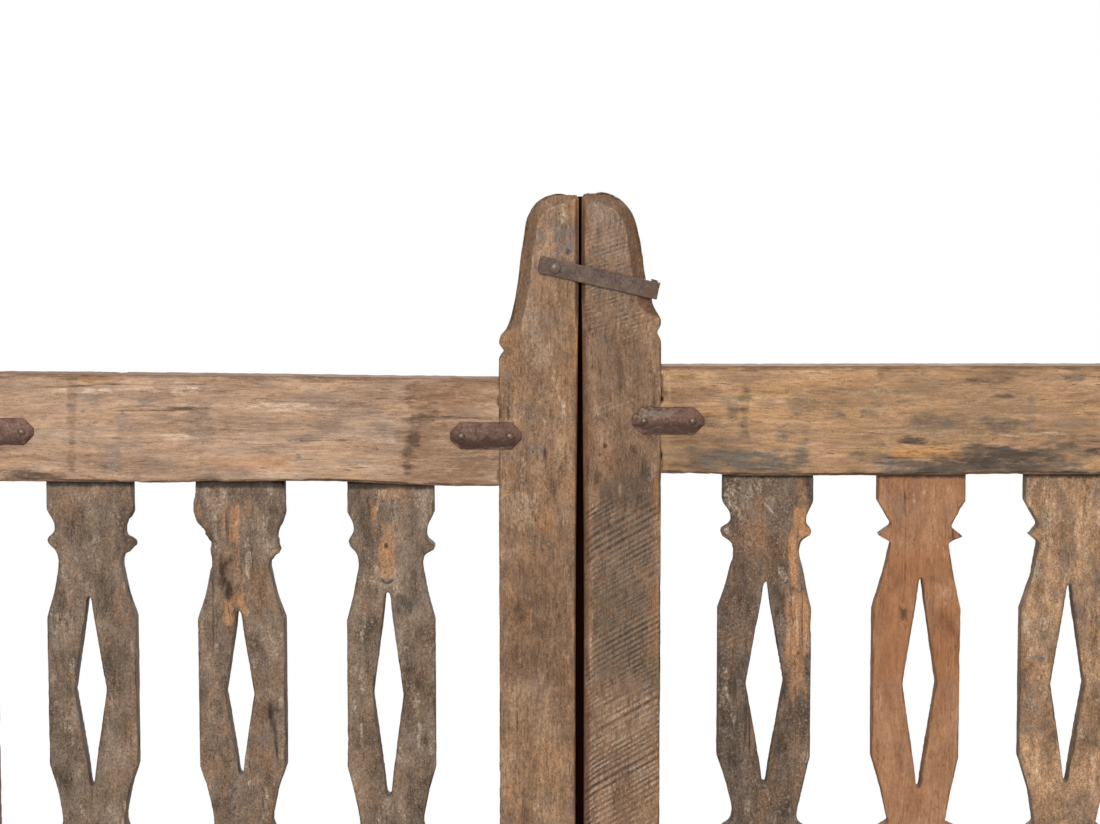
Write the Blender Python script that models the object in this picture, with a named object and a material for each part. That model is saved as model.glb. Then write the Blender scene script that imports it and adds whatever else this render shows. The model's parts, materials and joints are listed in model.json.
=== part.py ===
"""Two-leaf timber gate with cut-out balusters, iron tie plates, pintle hinges and a drop latch.

The gate closes on X = 0, its front faces -Y and the feet of its stiles stand at Z = 0.
"""

import bpy
import bmesh
from math import cos, pi, radians, sin
from mathutils import Matrix, Vector

# Gap between pieces that touch
FIT = 0.0003

# Stiles and rails
STILE_WIDTH = 0.0888
STILE_DEPTH = 0.050
RAIL_HEIGHT = 0.117
RAIL_DEPTH = 0.046
RAIL_EDGE_ROUND = 0.004
LEAF_CLEAR_WIDTH = 0.5642
MEETING_GAP = 0.0030
FOOT_CLEARANCE = 0.059
BALUSTER_CLEAR = 0.473
TENON_LENGTH = 0.060
TENON_THICKNESS = 0.018
TENON_SHOULDER = 0.014

# The left leaf has sunk: its rails lie lower, and fall towards the meeting stile
LEFT_LEAF_DROP = 0.0143
LEFT_LEAF_SLOPE = 0.0075

# Heads of the stiles
HEAD_ABOVE_RAIL = 0.192
LEFT_HEAD_LOWER = 0.002
HEAD_ROUND = 0.009
HEAD_ROUND_LENGTH = 0.113
HANGING_ABOVE_RAIL = 0.046
HANGING_TOP_RADIUS = 0.016

# Where the latch hook comes down on the right head, from the stile's edge and from its top
SEAT_INSET = 0.0125
SEAT_DROP = 0.1145

# Head outlines, each point (in from the stile's outer edge, down from the head's top, handle),
# from the notch below the nub, up the flank and over to the meeting edge
LEFT_HEAD = (
    (0.0000, 0.1800, "VECTOR"),
    (0.0060, 0.1720, "VECTOR"),
    (0.0000, 0.1615, "AUTO"),
    (0.0090, 0.1465, "AUTO"),
    (0.0190, 0.1070, "AUTO"),
    (0.0265, 0.0540, "AUTO"),
    (0.0364, 0.0155, "AUTO"),
    (0.0590, 0.0000, "AUTO"),
    (0.0790, 0.0015, "AUTO"),
    (STILE_WIDTH, 0.0085, "VECTOR"),
)
RIGHT_HEAD = (
    (0.0000, 0.1630, "VECTOR"),
    (0.0050, 0.1540, "VECTOR"),
    (0.0000, 0.1420, "AUTO"),
    (0.0067, 0.1286, "AUTO"),
    (SEAT_INSET, SEAT_DROP, "AUTO"),
    (0.0190, 0.0910, "AUTO"),
    (0.0245, 0.0490, "AUTO"),
    (0.0360, 0.0175, "AUTO"),
    (0.0620, 0.0000, "AUTO"),
    (0.0790, 0.0020, "AUTO"),
    (STILE_WIDTH, 0.0080, "VECTOR"),
)

# The strip on the right leaf's back that closes the gap between the meeting stiles
STRIP_WIDTH = 0.052
STRIP_THICKNESS = 0.010
STRIP_LAP = 0.022
STRIP_FOOT = 0.030
STRIP_BELOW_HEAD = 0.010
STRIP_EDGE = 0.002
STRIP_NAIL_INSET = 0.0135
STRIP_NAIL_MARGIN = 0.080
STRIP_NAILS = 3

# Balusters: how far below the rail each feature of the cut-out edge lies
BALUSTER_THICKNESS = 0.025
BALUSTER_SETBACK = 0.010
BALUSTER_PITCH = 0.166
BALUSTER_TENON_WIDTH = 0.070
BALUSTER_TENON_LENGTH = 0.022
SHOULDER_DEPTH = 0.032
NOTCH_DEPTH = 0.0545
NUB_DEPTH = 0.066
NECK_DEPTH = 0.0785
FLARE_DEPTH = 0.114
WAIST_DEPTH = 0.153

# Each baluster is cut by hand: half widths of its left and right edge at the shoulder, notch, nub,
# neck, flare and waist, how far that edge's notch and nub are lifted, the depth of the slot's point,
# half the slot's width, how far the slot and the baluster stand to the right, the edge's handles
# and which wood it is cut from
LEFT_BALUSTERS = {
    "outer": {"left": (0.0490, 0.0405, 0.0490, 0.0385, 0.0400, 0.0505), "left_lift": 0.003,
              "right": (0.0480, 0.0385, 0.0500, 0.0378, 0.0388, 0.0500), "right_lift": 0.0,
              "slot_point": 0.128, "slot_half": 0.0170, "slot_shift": -0.0025, "nudge": -0.0055,
              "handle": "AUTO", "wood": "grey"},
    "middle": {"left": (0.0500, 0.0430, 0.0365, 0.0340, 0.0375, 0.0490), "left_lift": 0.003,
               "right": (0.0505, 0.0412, 0.0450, 0.0368, 0.0376, 0.0500), "right_lift": -0.007,
               "slot_point": 0.142, "slot_half": 0.0150, "slot_shift": -0.0020, "nudge": -0.0047,
               "handle": "AUTO", "wood": "grey"},
    "inner": {"left": (0.0490, 0.0420, 0.0480, 0.0380, 0.0410, 0.0505), "left_lift": 0.006,
              "right": (0.0490, 0.0405, 0.0500, 0.0380, 0.0400, 0.0500), "right_lift": 0.0,
              "slot_point": 0.118, "slot_half": 0.0160, "slot_shift": -0.0035, "nudge": -0.0036,
              "handle": "AUTO", "wood": "grey"},
}
RIGHT_BALUSTERS = {
    "inner": {"left": (0.0500, 0.0400, 0.0515, 0.0385, 0.0420, 0.0545), "left_lift": 0.003,
              "right": (0.0520, 0.0445, 0.0505, 0.0385, 0.0425, 0.0510), "right_lift": -0.001,
              "slot_point": 0.124, "slot_half": 0.0200, "slot_shift": -0.0010, "nudge": 0.0006,
              "handle": "AUTO", "wood": "grey"},
    "middle": {"left": (0.0480, 0.0320, 0.0475, 0.0320, 0.0400, 0.0515), "left_lift": -0.004,
               "right": (0.0510, 0.0355, 0.0490, 0.0330, 0.0390, 0.0475), "right_lift": -0.005,
               "slot_point": 0.117, "slot_half": 0.0180, "slot_shift": 0.0020, "nudge": 0.0037,
               "handle": "VECTOR", "wood": "red"},
    "outer": {"left": (0.0510, 0.0360, 0.0460, 0.0355, 0.0410, 0.0535), "left_lift": -0.004,
              "right": (0.0500, 0.0370, 0.0475, 0.0350, 0.0425, 0.0510), "right_lift": -0.001,
              "slot_point": 0.121, "slot_half": 0.0180, "slot_shift": 0.0, "nudge": 0.0040,
              "handle": "VECTOR", "wood": "grey"},
}

# Iron tie plates and their nails
TIE_LENGTH = 0.080
TIE_HEIGHT = 0.031
TIE_THICKNESS = 0.0052
TIE_EDGE = 0.0022
TIE_CROWN_INSET = 0.0060
TIE_END_CLIP = 0.0115
TIE_END_FLAT = 0.008
LEFT_TIE_ONTO_RAIL = 0.0133
RIGHT_TIE_ONTO_RAIL = 0.0067
LEFT_TIE_DROP = 0.0025
NAIL_INSET = 0.0135
NAIL_HEAD_RADIUS = 0.0044
NAIL_HEAD_HEIGHT = 0.0024
NAIL_SHANK_RADIUS = 0.0018
NAIL_LENGTH = 0.028
NAIL_POINT = 0.0072

# Dome of a nail head, each point (part of its radius, part of its height)
NAIL_DOME = ((0.0, 1.0), (0.55, 0.85), (0.90, 0.45), (1.0, 0.0))

# Hinge eyes and pintles
HINGE_FROM_RAIL = 0.055
EYE_OFFSET = 0.024
EYE_RADIUS = 0.017
EYE_HEIGHT = 0.030
PIN_RADIUS = 0.007
PIN_PLAY = 0.0005
PIN_ABOVE_EYE = 0.010
TANG_SIZE = 0.012
TANG_DEPTH = 0.060
COLLAR_RADIUS = 0.013
COLLAR_HEIGHT = 0.009
PINTLE_REACH = 0.042
ARM_HEIGHT = 0.016
ARM_WIDTH = 0.018
PLATE_WIDTH = 0.078
PLATE_HEIGHT = 0.100
PLATE_THICKNESS = 0.006
PLATE_HOLE_RADIUS = 0.0035
PLATE_HOLE_MARGIN = 0.014

# Latch bar and pin
LATCH_PIVOT_INSET = 0.0260
LATCH_SLOPE = radians(12.8)
LATCH_TAIL = 0.0187
LATCH_TAIL_CORNER = 0.0038
LATCH_WIDTH = 0.0198
LATCH_THICKNESS = 0.0042
LATCH_STANDOFF = 0.0008
HOOK_CLEARANCE = 0.0028
HOOK_BEHIND = 0.0020
LIP_CUT_BACK = 0.0025
LEG_RETURN = 0.0105
LATCH_PIN_RADIUS = 0.0040
LATCH_PIN_PLAY = 0.0004
LATCH_PIN_HEAD_RADIUS = 0.0068
LATCH_PIN_HEAD_HEIGHT = 0.0036
LATCH_PIN_DEPTH = 0.036

# Facets of curves and round pieces
CURVE_STEPS = 4
ROUND_STEPS = 24
NAIL_STEPS = 12
HEAD_ROUND_STEPS = 3
RAIL_ROUND_STEPS = 2

# How far cutters run past a face, and how close points and faces are taken as one
OVERCUT = 0.010
MERGE_DISTANCE = 0.00001
FLAT_ANGLE = radians(0.4)
CORNER_ANGLE = radians(45)

# Places worked out from the sizes above
FRONT = -STILE_DEPTH / 2
RAIL_MID_Y = FRONT + RAIL_DEPTH / 2
BALUSTER_MID_Y = FRONT + BALUSTER_SETBACK + BALUSTER_THICKNESS / 2
STILE_INNER = MEETING_GAP / 2
STILE_OUTER = STILE_INNER + STILE_WIDTH
HANGING_INNER = STILE_OUTER + LEAF_CLEAR_WIDTH
HANGING_OUTER = HANGING_INNER + STILE_WIDTH
HINGE_X = HANGING_OUTER + EYE_OFFSET
LEAF_MID = STILE_OUTER + LEAF_CLEAR_WIDTH / 2
BOTTOM_RAIL_TOP = FOOT_CLEARANCE + RAIL_HEIGHT
TOP_RAIL_BOTTOM = BOTTOM_RAIL_TOP + BALUSTER_CLEAR
TOP_RAIL_TOP = TOP_RAIL_BOTTOM + RAIL_HEIGHT
HANGING_STILE_TOP = TOP_RAIL_TOP + HANGING_ABOVE_RAIL
RIGHT_HEAD_TOP = TOP_RAIL_TOP + HEAD_ABOVE_RAIL
LEFT_HEAD_TOP = RIGHT_HEAD_TOP - LEFT_HEAD_LOWER

LEAVES = (
    {"name": "left", "side": -1, "drop": LEFT_LEAF_DROP, "slope": LEFT_LEAF_SLOPE,
     "tie_onto_rail": LEFT_TIE_ONTO_RAIL, "tie_drop": LEFT_TIE_DROP,
     "head": LEFT_HEAD, "head_top": LEFT_HEAD_TOP, "balusters": LEFT_BALUSTERS},
    {"name": "right", "side": 1, "drop": 0.0, "slope": 0.0,
     "tie_onto_rail": RIGHT_TIE_ONTO_RAIL, "tie_drop": 0.0,
     "head": RIGHT_HEAD, "head_top": RIGHT_HEAD_TOP, "balusters": RIGHT_BALUSTERS},
)
BALUSTER_PLACES = {"inner": -BALUSTER_PITCH, "middle": 0.0, "outer": BALUSTER_PITCH}


# Scene, collections and materials

def clear_scene():
    for obj in list(bpy.data.objects):
        bpy.data.objects.remove(obj, do_unlink=True)


def new_collection(name):
    collection = bpy.data.collections.new(name)
    bpy.context.scene.collection.children.link(collection)
    return collection


def new_material(name, colour, roughness, metallic):
    material = bpy.data.materials.new(name)
    material.use_nodes = True
    shader = material.node_tree.nodes["Principled BSDF"]
    shader.inputs["Base Color"].default_value = (*colour, 1.0)
    shader.inputs["Roughness"].default_value = roughness
    shader.inputs["Metallic"].default_value = metallic
    return material


clear_scene()
PARTS = new_collection("wooden_gate")
CUTTERS = new_collection("wooden_gate_cutters")
RAIL_WOOD = new_material("rail_wood", (0.36, 0.22, 0.12), 0.80, 0.0)
STILE_WOOD = new_material("stile_wood", (0.30, 0.19, 0.11), 0.85, 0.0)
GREY_WOOD = new_material("grey_baluster_wood", (0.21, 0.16, 0.12), 0.90, 0.0)
RED_WOOD = new_material("red_baluster_wood", (0.28, 0.15, 0.08), 0.85, 0.0)
IRON = new_material("forged_iron", (0.10, 0.07, 0.06), 0.60, 0.85)
NAIL_IRON = new_material("nail_iron", (0.16, 0.13, 0.12), 0.45, 0.90)


# Making and joining solids

def add_object(name, mesh, material=None):
    obj = bpy.data.objects.new(name, mesh)
    if material is None:
        obj.hide_render = True
        obj.display_type = "WIRE"
        CUTTERS.objects.link(obj)
    else:
        mesh.materials.append(material)
        PARTS.objects.link(obj)
    return obj


def mesh_from(bm, name):
    bmesh.ops.recalc_face_normals(bm, faces=bm.faces)
    mesh = bpy.data.meshes.new(name)
    bm.to_mesh(mesh)
    bm.free()
    return mesh


def add_box(bm, low, high):
    low = Vector(low)
    high = Vector(high)
    place = Matrix.Translation((low + high) / 2) @ Matrix.Diagonal((high - low).to_4d())
    return bmesh.ops.create_cube(bm, size=1.0, matrix=place)["verts"]


def add_cylinder(bm, start, end, radius, end_radius=None, steps=ROUND_STEPS):
    start = Vector(start)
    end = Vector(end)
    along = end - start
    turn = along.to_track_quat("Z", "Y").to_matrix().to_4x4()
    place = Matrix.Translation((start + end) / 2) @ turn
    far = radius if end_radius is None else end_radius
    made = bmesh.ops.create_cone(bm, cap_ends=True, segments=steps, radius1=radius, radius2=far,
                                 depth=along.length, matrix=place)
    return made["verts"]


def box_mesh(name, *boxes):
    bm = bmesh.new()
    for low, high in boxes:
        add_box(bm, low, high)
    return mesh_from(bm, name)


def ring(bm, y, points):
    return [bm.verts.new((x, y, z)) for x, z in points]


def wall(bm, near, far, skip=None):
    """Faces between two rings of as many points, leaving out one side if asked."""
    for step in range(len(near)):
        if step != skip:
            after = (step + 1) % len(near)
            bm.faces.new((near[step], near[after], far[after], far[step]))


def outline_mesh(name, outlines, thickness):
    """A flat shape in X and Z, from closed outlines of (x, z, handle), centred on Y = 0."""
    curve = bpy.data.curves.new(name, "CURVE")
    curve.dimensions = "2D"
    curve.fill_mode = "BOTH"
    curve.extrude = thickness / 2
    curve.resolution_u = CURVE_STEPS
    for outline in outlines:
        spline = curve.splines.new("BEZIER")
        spline.use_cyclic_u = True
        spline.bezier_points.add(len(outline) - 1)
        for point, (x, z, handle) in zip(spline.bezier_points, outline):
            point.co = (x, z, 0.0)
            point.handle_left_type = handle
            point.handle_right_type = handle
    flat = bpy.data.objects.new(name, curve)
    CUTTERS.objects.link(flat)
    bpy.context.view_layer.update()
    evaluated = flat.evaluated_get(bpy.context.evaluated_depsgraph_get())
    mesh = bpy.data.meshes.new_from_object(evaluated)
    bpy.data.objects.remove(flat, do_unlink=True)
    bm = bmesh.new()
    bm.from_mesh(mesh)
    bmesh.ops.remove_doubles(bm, verts=bm.verts, dist=MERGE_DISTANCE)
    bmesh.ops.dissolve_limit(bm, angle_limit=FLAT_ANGLE, verts=bm.verts, edges=bm.edges)
    upright = Matrix.Rotation(pi / 2, 4, "X")
    bmesh.ops.transform(bm, matrix=upright, verts=bm.verts)
    bpy.data.meshes.remove(mesh)
    return mesh_from(bm, name)


def sharp(points):
    return [(x, z, "VECTOR") for x, z in points]


def boolean(obj, other, operation):
    modifier = obj.modifiers.new(operation.lower() + "_" + other.name, "BOOLEAN")
    modifier.operation = operation
    modifier.solver = "EXACT"
    modifier.object = other


def cut(obj, mesh):
    boolean(obj, add_object(mesh.name, mesh), "DIFFERENCE")


def join(obj, mesh):
    boolean(obj, add_object(mesh.name, mesh), "UNION")


def attach(obj, empty):
    obj.parent = empty
    obj.matrix_parent_inverse = empty.matrix_world.inverted()


def axis_empty(name, place, parent=None):
    empty = bpy.data.objects.new(name, None)
    PARTS.objects.link(empty)
    empty.location = place
    bpy.context.view_layer.update()
    if parent is not None:
        attach(empty, parent)
        bpy.context.view_layer.update()
    return empty


# Leaf geometry shared by its pieces

def rail_rise(leaf, x):
    """How far a leaf's rails lie above the level gate, at a distance x from the meeting line."""
    return leaf["slope"] * (abs(x) - STILE_OUTER) - leaf["drop"]


def lean(leaf, mesh):
    """Shears a mesh that lies across the leaf to the rails' fall."""
    for vertex in mesh.vertices:
        vertex.co.z += rail_rise(leaf, vertex.co.x)
    return mesh


def rail_levels():
    return {"top": (TOP_RAIL_BOTTOM, TOP_RAIL_TOP),
            "bottom": (FOOT_CLEARANCE, BOTTOM_RAIL_TOP)}


def across(leaf, near, far, depth, levels):
    """A box's two corners, from distances near and far from the meeting line."""
    left, right = sorted((leaf["side"] * near, leaf["side"] * far))
    return (left, depth[0], levels[0]), (right, depth[1], levels[1])


def tenon_boxes(leaf, level, gap):
    """The rail's two tenons, grown by a gap for their mortises."""
    bottom, top = rail_levels()[level]
    depth = (RAIL_MID_Y - TENON_THICKNESS / 2 - gap, RAIL_MID_Y + TENON_THICKNESS / 2 + gap)
    levels = (bottom + TENON_SHOULDER - gap, top - TENON_SHOULDER + gap)
    inner = across(leaf, STILE_OUTER - TENON_LENGTH - gap, STILE_OUTER + OVERCUT, depth, levels)
    outer = across(leaf, HANGING_INNER - OVERCUT, HANGING_INNER + TENON_LENGTH + gap, depth, levels)
    return {"inner": inner, "outer": outer}


def tie_places(leaf):
    """Centre of each tie plate, and which way from it the rail lies."""
    places = {}
    for level, (bottom, top) in rail_levels().items():
        for end, edge, way in (("inner", STILE_OUTER, 1), ("outer", HANGING_INNER, -1)):
            distance = edge + way * leaf["tie_onto_rail"]
            height = (bottom + top) / 2 + rail_rise(leaf, edge) - leaf["tie_drop"]
            places[level + "_" + end] = (leaf["side"] * distance, height)
    return places


def nail_places(leaf, tie):
    x, z = tie_places(leaf)[tie]
    reach = TIE_LENGTH / 2 - NAIL_INSET
    return [(x - reach, z), (x + reach, z)]


def nail_holes(name, leaf, ties):
    """Holes for the nails' shanks, through the plates and into the wood behind."""
    bm = bmesh.new()
    outside = FRONT - FIT - TIE_THICKNESS - OVERCUT
    tip = FRONT + NAIL_LENGTH + FIT
    for tie in ties:
        for x, z in nail_places(leaf, tie):
            add_cylinder(bm, (x, outside, z), (x, tip, z), NAIL_SHANK_RADIUS + FIT, steps=NAIL_STEPS)
    return mesh_from(bm, name)


def hinge_heights(leaf):
    """Heights of the middles of a leaf's eyes, just clear of the rails' tenons."""
    rise = rail_rise(leaf, HANGING_INNER)
    return {"upper": TOP_RAIL_BOTTOM - HINGE_FROM_RAIL + rise,
            "lower": BOTTOM_RAIL_TOP + HINGE_FROM_RAIL + rise}


# Wood

def round_head(bm, leaf):
    """Rounds over the head's front and back edges, from the flank up and over the top."""
    start = leaf["head_top"] - HEAD_ROUND_LENGTH
    flank = STILE_INNER + FIT
    edges = []
    for edge in bm.edges:
        on_face = all(abs(abs(v.co.y) - STILE_DEPTH / 2) < FIT for v in edge.verts)
        on_head = all(v.co.z > start for v in edge.verts)
        off_meeting_edge = any(abs(v.co.x) > flank for v in edge.verts)
        if on_face and on_head and off_meeting_edge and edge.calc_face_angle(0.0) > CORNER_ANGLE:
            edges.append(edge)
    bmesh.ops.bevel(bm, geom=edges, offset=HEAD_ROUND, segments=HEAD_ROUND_STEPS, profile=0.5,
                    affect="EDGES", clamp_overlap=True)


def meeting_stile(leaf, empty):
    side = leaf["side"]
    top = leaf["head_top"]
    outline = sharp([(side * STILE_INNER, 0.0), (side * STILE_OUTER, 0.0)])
    for inset, drop, handle in leaf["head"]:
        outline.append((side * (STILE_OUTER - inset), top - drop, handle))
    mesh = outline_mesh(leaf["name"] + "_meeting_stile", [outline], STILE_DEPTH)
    bm = bmesh.new()
    bm.from_mesh(mesh)
    round_head(bm, leaf)
    bm.to_mesh(mesh)
    bm.free()
    stile = add_object(mesh.name, mesh, STILE_WOOD)
    for level in rail_levels():
        box = tenon_boxes(leaf, level, FIT)["inner"]
        cut(stile, lean(leaf, box_mesh(leaf["name"] + "_inner_mortise_" + level, box)))
    ties = [level + "_inner" for level in rail_levels()]
    cut(stile, nail_holes(leaf["name"] + "_inner_nail_holes", leaf, ties))
    attach(stile, empty)
    return stile


def hanging_stile(leaf, empty):
    side = leaf["side"]
    arc = HANGING_TOP_RADIUS
    points = [(HANGING_INNER, 0.0), (HANGING_OUTER, 0.0)]
    for centre, start in ((HANGING_OUTER - arc, 0.0), (HANGING_INNER + arc, pi / 2)):
        for step in range(CURVE_STEPS + 1):
            angle = start + step / CURVE_STEPS * pi / 2
            height = HANGING_STILE_TOP - arc + arc * sin(angle)
            points.append((centre + arc * cos(angle), height))
    outline = sharp([(side * x, z) for x, z in points])
    mesh = outline_mesh(leaf["name"] + "_hanging_stile", [outline], STILE_DEPTH)
    stile = add_object(mesh.name, mesh, STILE_WOOD)
    for level in rail_levels():
        box = tenon_boxes(leaf, level, FIT)["outer"]
        cut(stile, lean(leaf, box_mesh(leaf["name"] + "_outer_mortise_" + level, box)))
    half = TANG_SIZE / 2 + FIT
    for hinge, height in hinge_heights(leaf).items():
        box = across(leaf, HANGING_OUTER - TANG_DEPTH - FIT, HANGING_OUTER + OVERCUT,
                     (-half, half), (height - half, height + half))
        cut(stile, box_mesh(leaf["name"] + "_tang_hole_" + hinge, box))
    ties = [level + "_outer" for level in rail_levels()]
    cut(stile, nail_holes(leaf["name"] + "_outer_nail_holes", leaf, ties))
    attach(stile, empty)


def closing_strip(leaf, stile, empty):
    """A lath nailed on the back of one meeting stile, which laps over the other."""
    name = leaf["name"] + "_closing_strip"
    back = STILE_DEPTH / 2 + FIT
    inner = -STRIP_LAP
    outer = STRIP_WIDTH - STRIP_LAP
    low, high = across(leaf, inner, outer, (back, back + STRIP_THICKNESS),
                       (STRIP_FOOT, leaf["head_top"] - STRIP_BELOW_HEAD))
    bm = bmesh.new()
    add_box(bm, low, high)
    rear = [edge for edge in bm.edges if all(v.co.y > back + STRIP_EDGE for v in edge.verts)]
    bmesh.ops.bevel(bm, geom=rear, offset=STRIP_EDGE, segments=1, profile=0.5, affect="EDGES")
    strip = add_object(name, mesh_from(bm, name), STILE_WOOD)
    x = leaf["side"] * (outer - STRIP_NAIL_INSET)
    foot = low[2] + STRIP_NAIL_MARGIN
    spacing = (high[2] - low[2] - 2 * STRIP_NAIL_MARGIN) / (STRIP_NAILS - 1)
    head_y = back + STRIP_THICKNESS + FIT
    holes = bmesh.new()
    for number in range(STRIP_NAILS):
        z = foot + number * spacing
        add_cylinder(holes, (x, head_y + OVERCUT, z), (x, back - NAIL_LENGTH - 2 * FIT, z),
                     NAIL_SHANK_RADIUS + FIT, steps=NAIL_STEPS)
        nail_name = leaf["name"] + "_strip_nail_" + str(number + 1)
        mesh = nail_mesh(nail_name, STRIP_THICKNESS)
        mesh.transform(Matrix.Rotation(pi, 4, "Z"))
        nail = add_object(nail_name, mesh, NAIL_IRON)
        nail.location = (x, head_y, z)
        attach(nail, empty)
    hole_mesh = mesh_from(holes, name + "_nail_holes")
    cut(strip, hole_mesh)
    boolean(stile, bpy.data.objects[hole_mesh.name], "DIFFERENCE")
    attach(strip, empty)


def rail_mesh(leaf, level):
    """The rail between its shoulders, with its four long edges worn round."""
    bottom, top = rail_levels()[level]
    bm = bmesh.new()
    low, high = across(leaf, STILE_OUTER + FIT, HANGING_INNER - FIT,
                       (FRONT, FRONT + RAIL_DEPTH), (bottom, top))
    add_box(bm, low, high)
    long_edges = [edge for edge in bm.edges
                  if abs(edge.verts[0].co.x - edge.verts[1].co.x) > RAIL_EDGE_ROUND]
    bmesh.ops.bevel(bm, geom=long_edges, offset=RAIL_EDGE_ROUND, segments=RAIL_ROUND_STEPS,
                    profile=0.5, affect="EDGES")
    return lean(leaf, mesh_from(bm, leaf["name"] + "_" + level + "_rail"))


def rail(leaf, level, empty):
    mesh = rail_mesh(leaf, level)
    name = mesh.name
    obj = add_object(name, mesh, RAIL_WOOD)
    for end, box in tenon_boxes(leaf, level, 0.0).items():
        join(obj, lean(leaf, box_mesh(name + "_tenon_" + end, box)))
    bottom, top = rail_levels()[level]
    if level == "top":
        pocket = (bottom - OVERCUT, bottom + BALUSTER_TENON_LENGTH + FIT)
    else:
        pocket = (top - BALUSTER_TENON_LENGTH - FIT, top + OVERCUT)
    half_depth = BALUSTER_THICKNESS / 2 + FIT
    depth = (BALUSTER_MID_Y - half_depth, BALUSTER_MID_Y + half_depth)
    boxes = []
    for place in BALUSTER_PLACES:
        middle = baluster_middle(leaf, place)
        half = BALUSTER_TENON_WIDTH / 2 + FIT
        boxes.append(((middle - half, depth[0], pocket[0]), (middle + half, depth[1], pocket[1])))
    cut(obj, lean(leaf, box_mesh(name + "_baluster_mortises", *boxes)))
    cut(obj, nail_holes(name + "_nail_holes", leaf, [level + "_inner", level + "_outer"]))
    attach(obj, empty)


def baluster_middle(leaf, place):
    return leaf["side"] * (LEAF_MID + BALUSTER_PLACES[place]) + leaf["balusters"][place]["nudge"]


def baluster_edge(way, half_widths, lift, handle):
    """One whole edge, from its upper shoulder down to its lower one, the same above as below."""
    depths = (SHOULDER_DEPTH, NOTCH_DEPTH - lift, NUB_DEPTH - lift, NECK_DEPTH, FLARE_DEPTH, WAIST_DEPTH)
    half = BALUSTER_CLEAR / 2
    corner = (way * half_widths[0], half - FIT, "VECTOR")
    upper = [(way * width, half - depth, handle) for width, depth in zip(half_widths, depths)]
    for end in (0, -1):
        upper[end] = (*upper[end][:2], "VECTOR")
    lower = [(x, -z, kind) for x, z, kind in reversed(upper)]
    return [corner, *upper, *lower, (corner[0], -corner[1], "VECTOR")]


def baluster(leaf, place, empty):
    shape = leaf["balusters"][place]
    handle = shape["handle"]
    right = baluster_edge(1, shape["right"], shape["right_lift"], handle)
    left = baluster_edge(-1, shape["left"], shape["left_lift"], handle)
    stub_half = BALUSTER_TENON_WIDTH / 2
    shoulder = BALUSTER_CLEAR / 2 - FIT
    stub_end = BALUSTER_CLEAR / 2 + BALUSTER_TENON_LENGTH
    lower_stub = sharp([(stub_half, -shoulder), (stub_half, -stub_end),
                        (-stub_half, -stub_end), (-stub_half, -shoulder)])
    upper_stub = [(-x, -z, kind) for x, z, kind in lower_stub]
    outline = right + lower_stub + left[::-1] + upper_stub
    slot_height = BALUSTER_CLEAR / 2 - shape["slot_point"]
    shift = shape["slot_shift"]
    slot = sharp([(shift, slot_height), (shift + shape["slot_half"], 0.0),
                  (shift, -slot_height), (shift - shape["slot_half"], 0.0)])
    name = leaf["name"] + "_baluster_" + place
    mesh = outline_mesh(name, [outline, slot], BALUSTER_THICKNESS)
    height = (TOP_RAIL_BOTTOM + BOTTOM_RAIL_TOP) / 2
    mesh.transform(Matrix.Translation((baluster_middle(leaf, place), BALUSTER_MID_Y, height)))
    material = RED_WOOD if shape["wood"] == "red" else GREY_WOOD
    attach(add_object(name, lean(leaf, mesh), material), empty)


# Iron

def tie_outline(inset):
    half = TIE_LENGTH / 2 - inset
    tall = TIE_HEIGHT / 2 - inset
    flat = TIE_END_FLAT / 2
    clip = half - TIE_END_CLIP
    return [(half, -flat), (half, flat), (clip, tall), (-clip, tall),
            (-half, flat), (-half, -flat), (-clip, -tall), (clip, -tall)]


def tie_plate(leaf, tie, empty):
    """A long plate with pointed ends, crowned along its middle, with its back at Y = 0."""
    name = leaf["name"] + "_tie_" + tie
    bm = bmesh.new()
    back = ring(bm, 0.0, tie_outline(0.0))
    edge = ring(bm, -TIE_EDGE, tie_outline(0.0))
    crown = ring(bm, -TIE_THICKNESS, tie_outline(TIE_CROWN_INSET))
    bm.faces.new(back)
    wall(bm, back, edge)
    wall(bm, edge, crown)
    bm.faces.new(crown)
    x, z = tie_places(leaf)[tie]
    plate = add_object(name, mesh_from(bm, name), IRON)
    plate.location = (x, FRONT - FIT, z)
    cut(plate, nail_holes(name + "_holes", leaf, [tie]))
    attach(plate, empty)


def nail_mesh(name, held):
    """A nail that points along +Y, with the underside of its domed head at Y = 0."""
    bm = bmesh.new()
    shank = FIT + held + FIT + NAIL_LENGTH
    profile = [(NAIL_HEAD_RADIUS * out, -NAIL_HEAD_HEIGHT * up) for out, up in NAIL_DOME]
    profile += [(NAIL_SHANK_RADIUS, 0.0), (NAIL_SHANK_RADIUS, shank - NAIL_POINT), (0.0, shank)]
    spin_profile(bm, profile, NAIL_STEPS)
    return mesh_from(bm, name)


def spin_profile(bm, profile, steps):
    """Turns a profile of (radius, y) about the Y axis into a closed solid."""
    points = [bm.verts.new((radius, y, 0.0)) for radius, y in profile]
    edges = [bm.edges.new(pair) for pair in zip(points, points[1:])]
    bmesh.ops.spin(bm, geom=points + edges, axis=(0, 1, 0), cent=(0, 0, 0), steps=steps, angle=2 * pi)
    bmesh.ops.remove_doubles(bm, verts=bm.verts, dist=MERGE_DISTANCE)


def tie_nails(leaf, tie, empty):
    for number, (x, z) in enumerate(nail_places(leaf, tie), start=1):
        name = leaf["name"] + "_nail_" + tie + "_" + str(number)
        nail = add_object(name, nail_mesh(name, TIE_THICKNESS), NAIL_IRON)
        nail.location = (x, FRONT - FIT - TIE_THICKNESS - FIT, z)
        attach(nail, empty)


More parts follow.
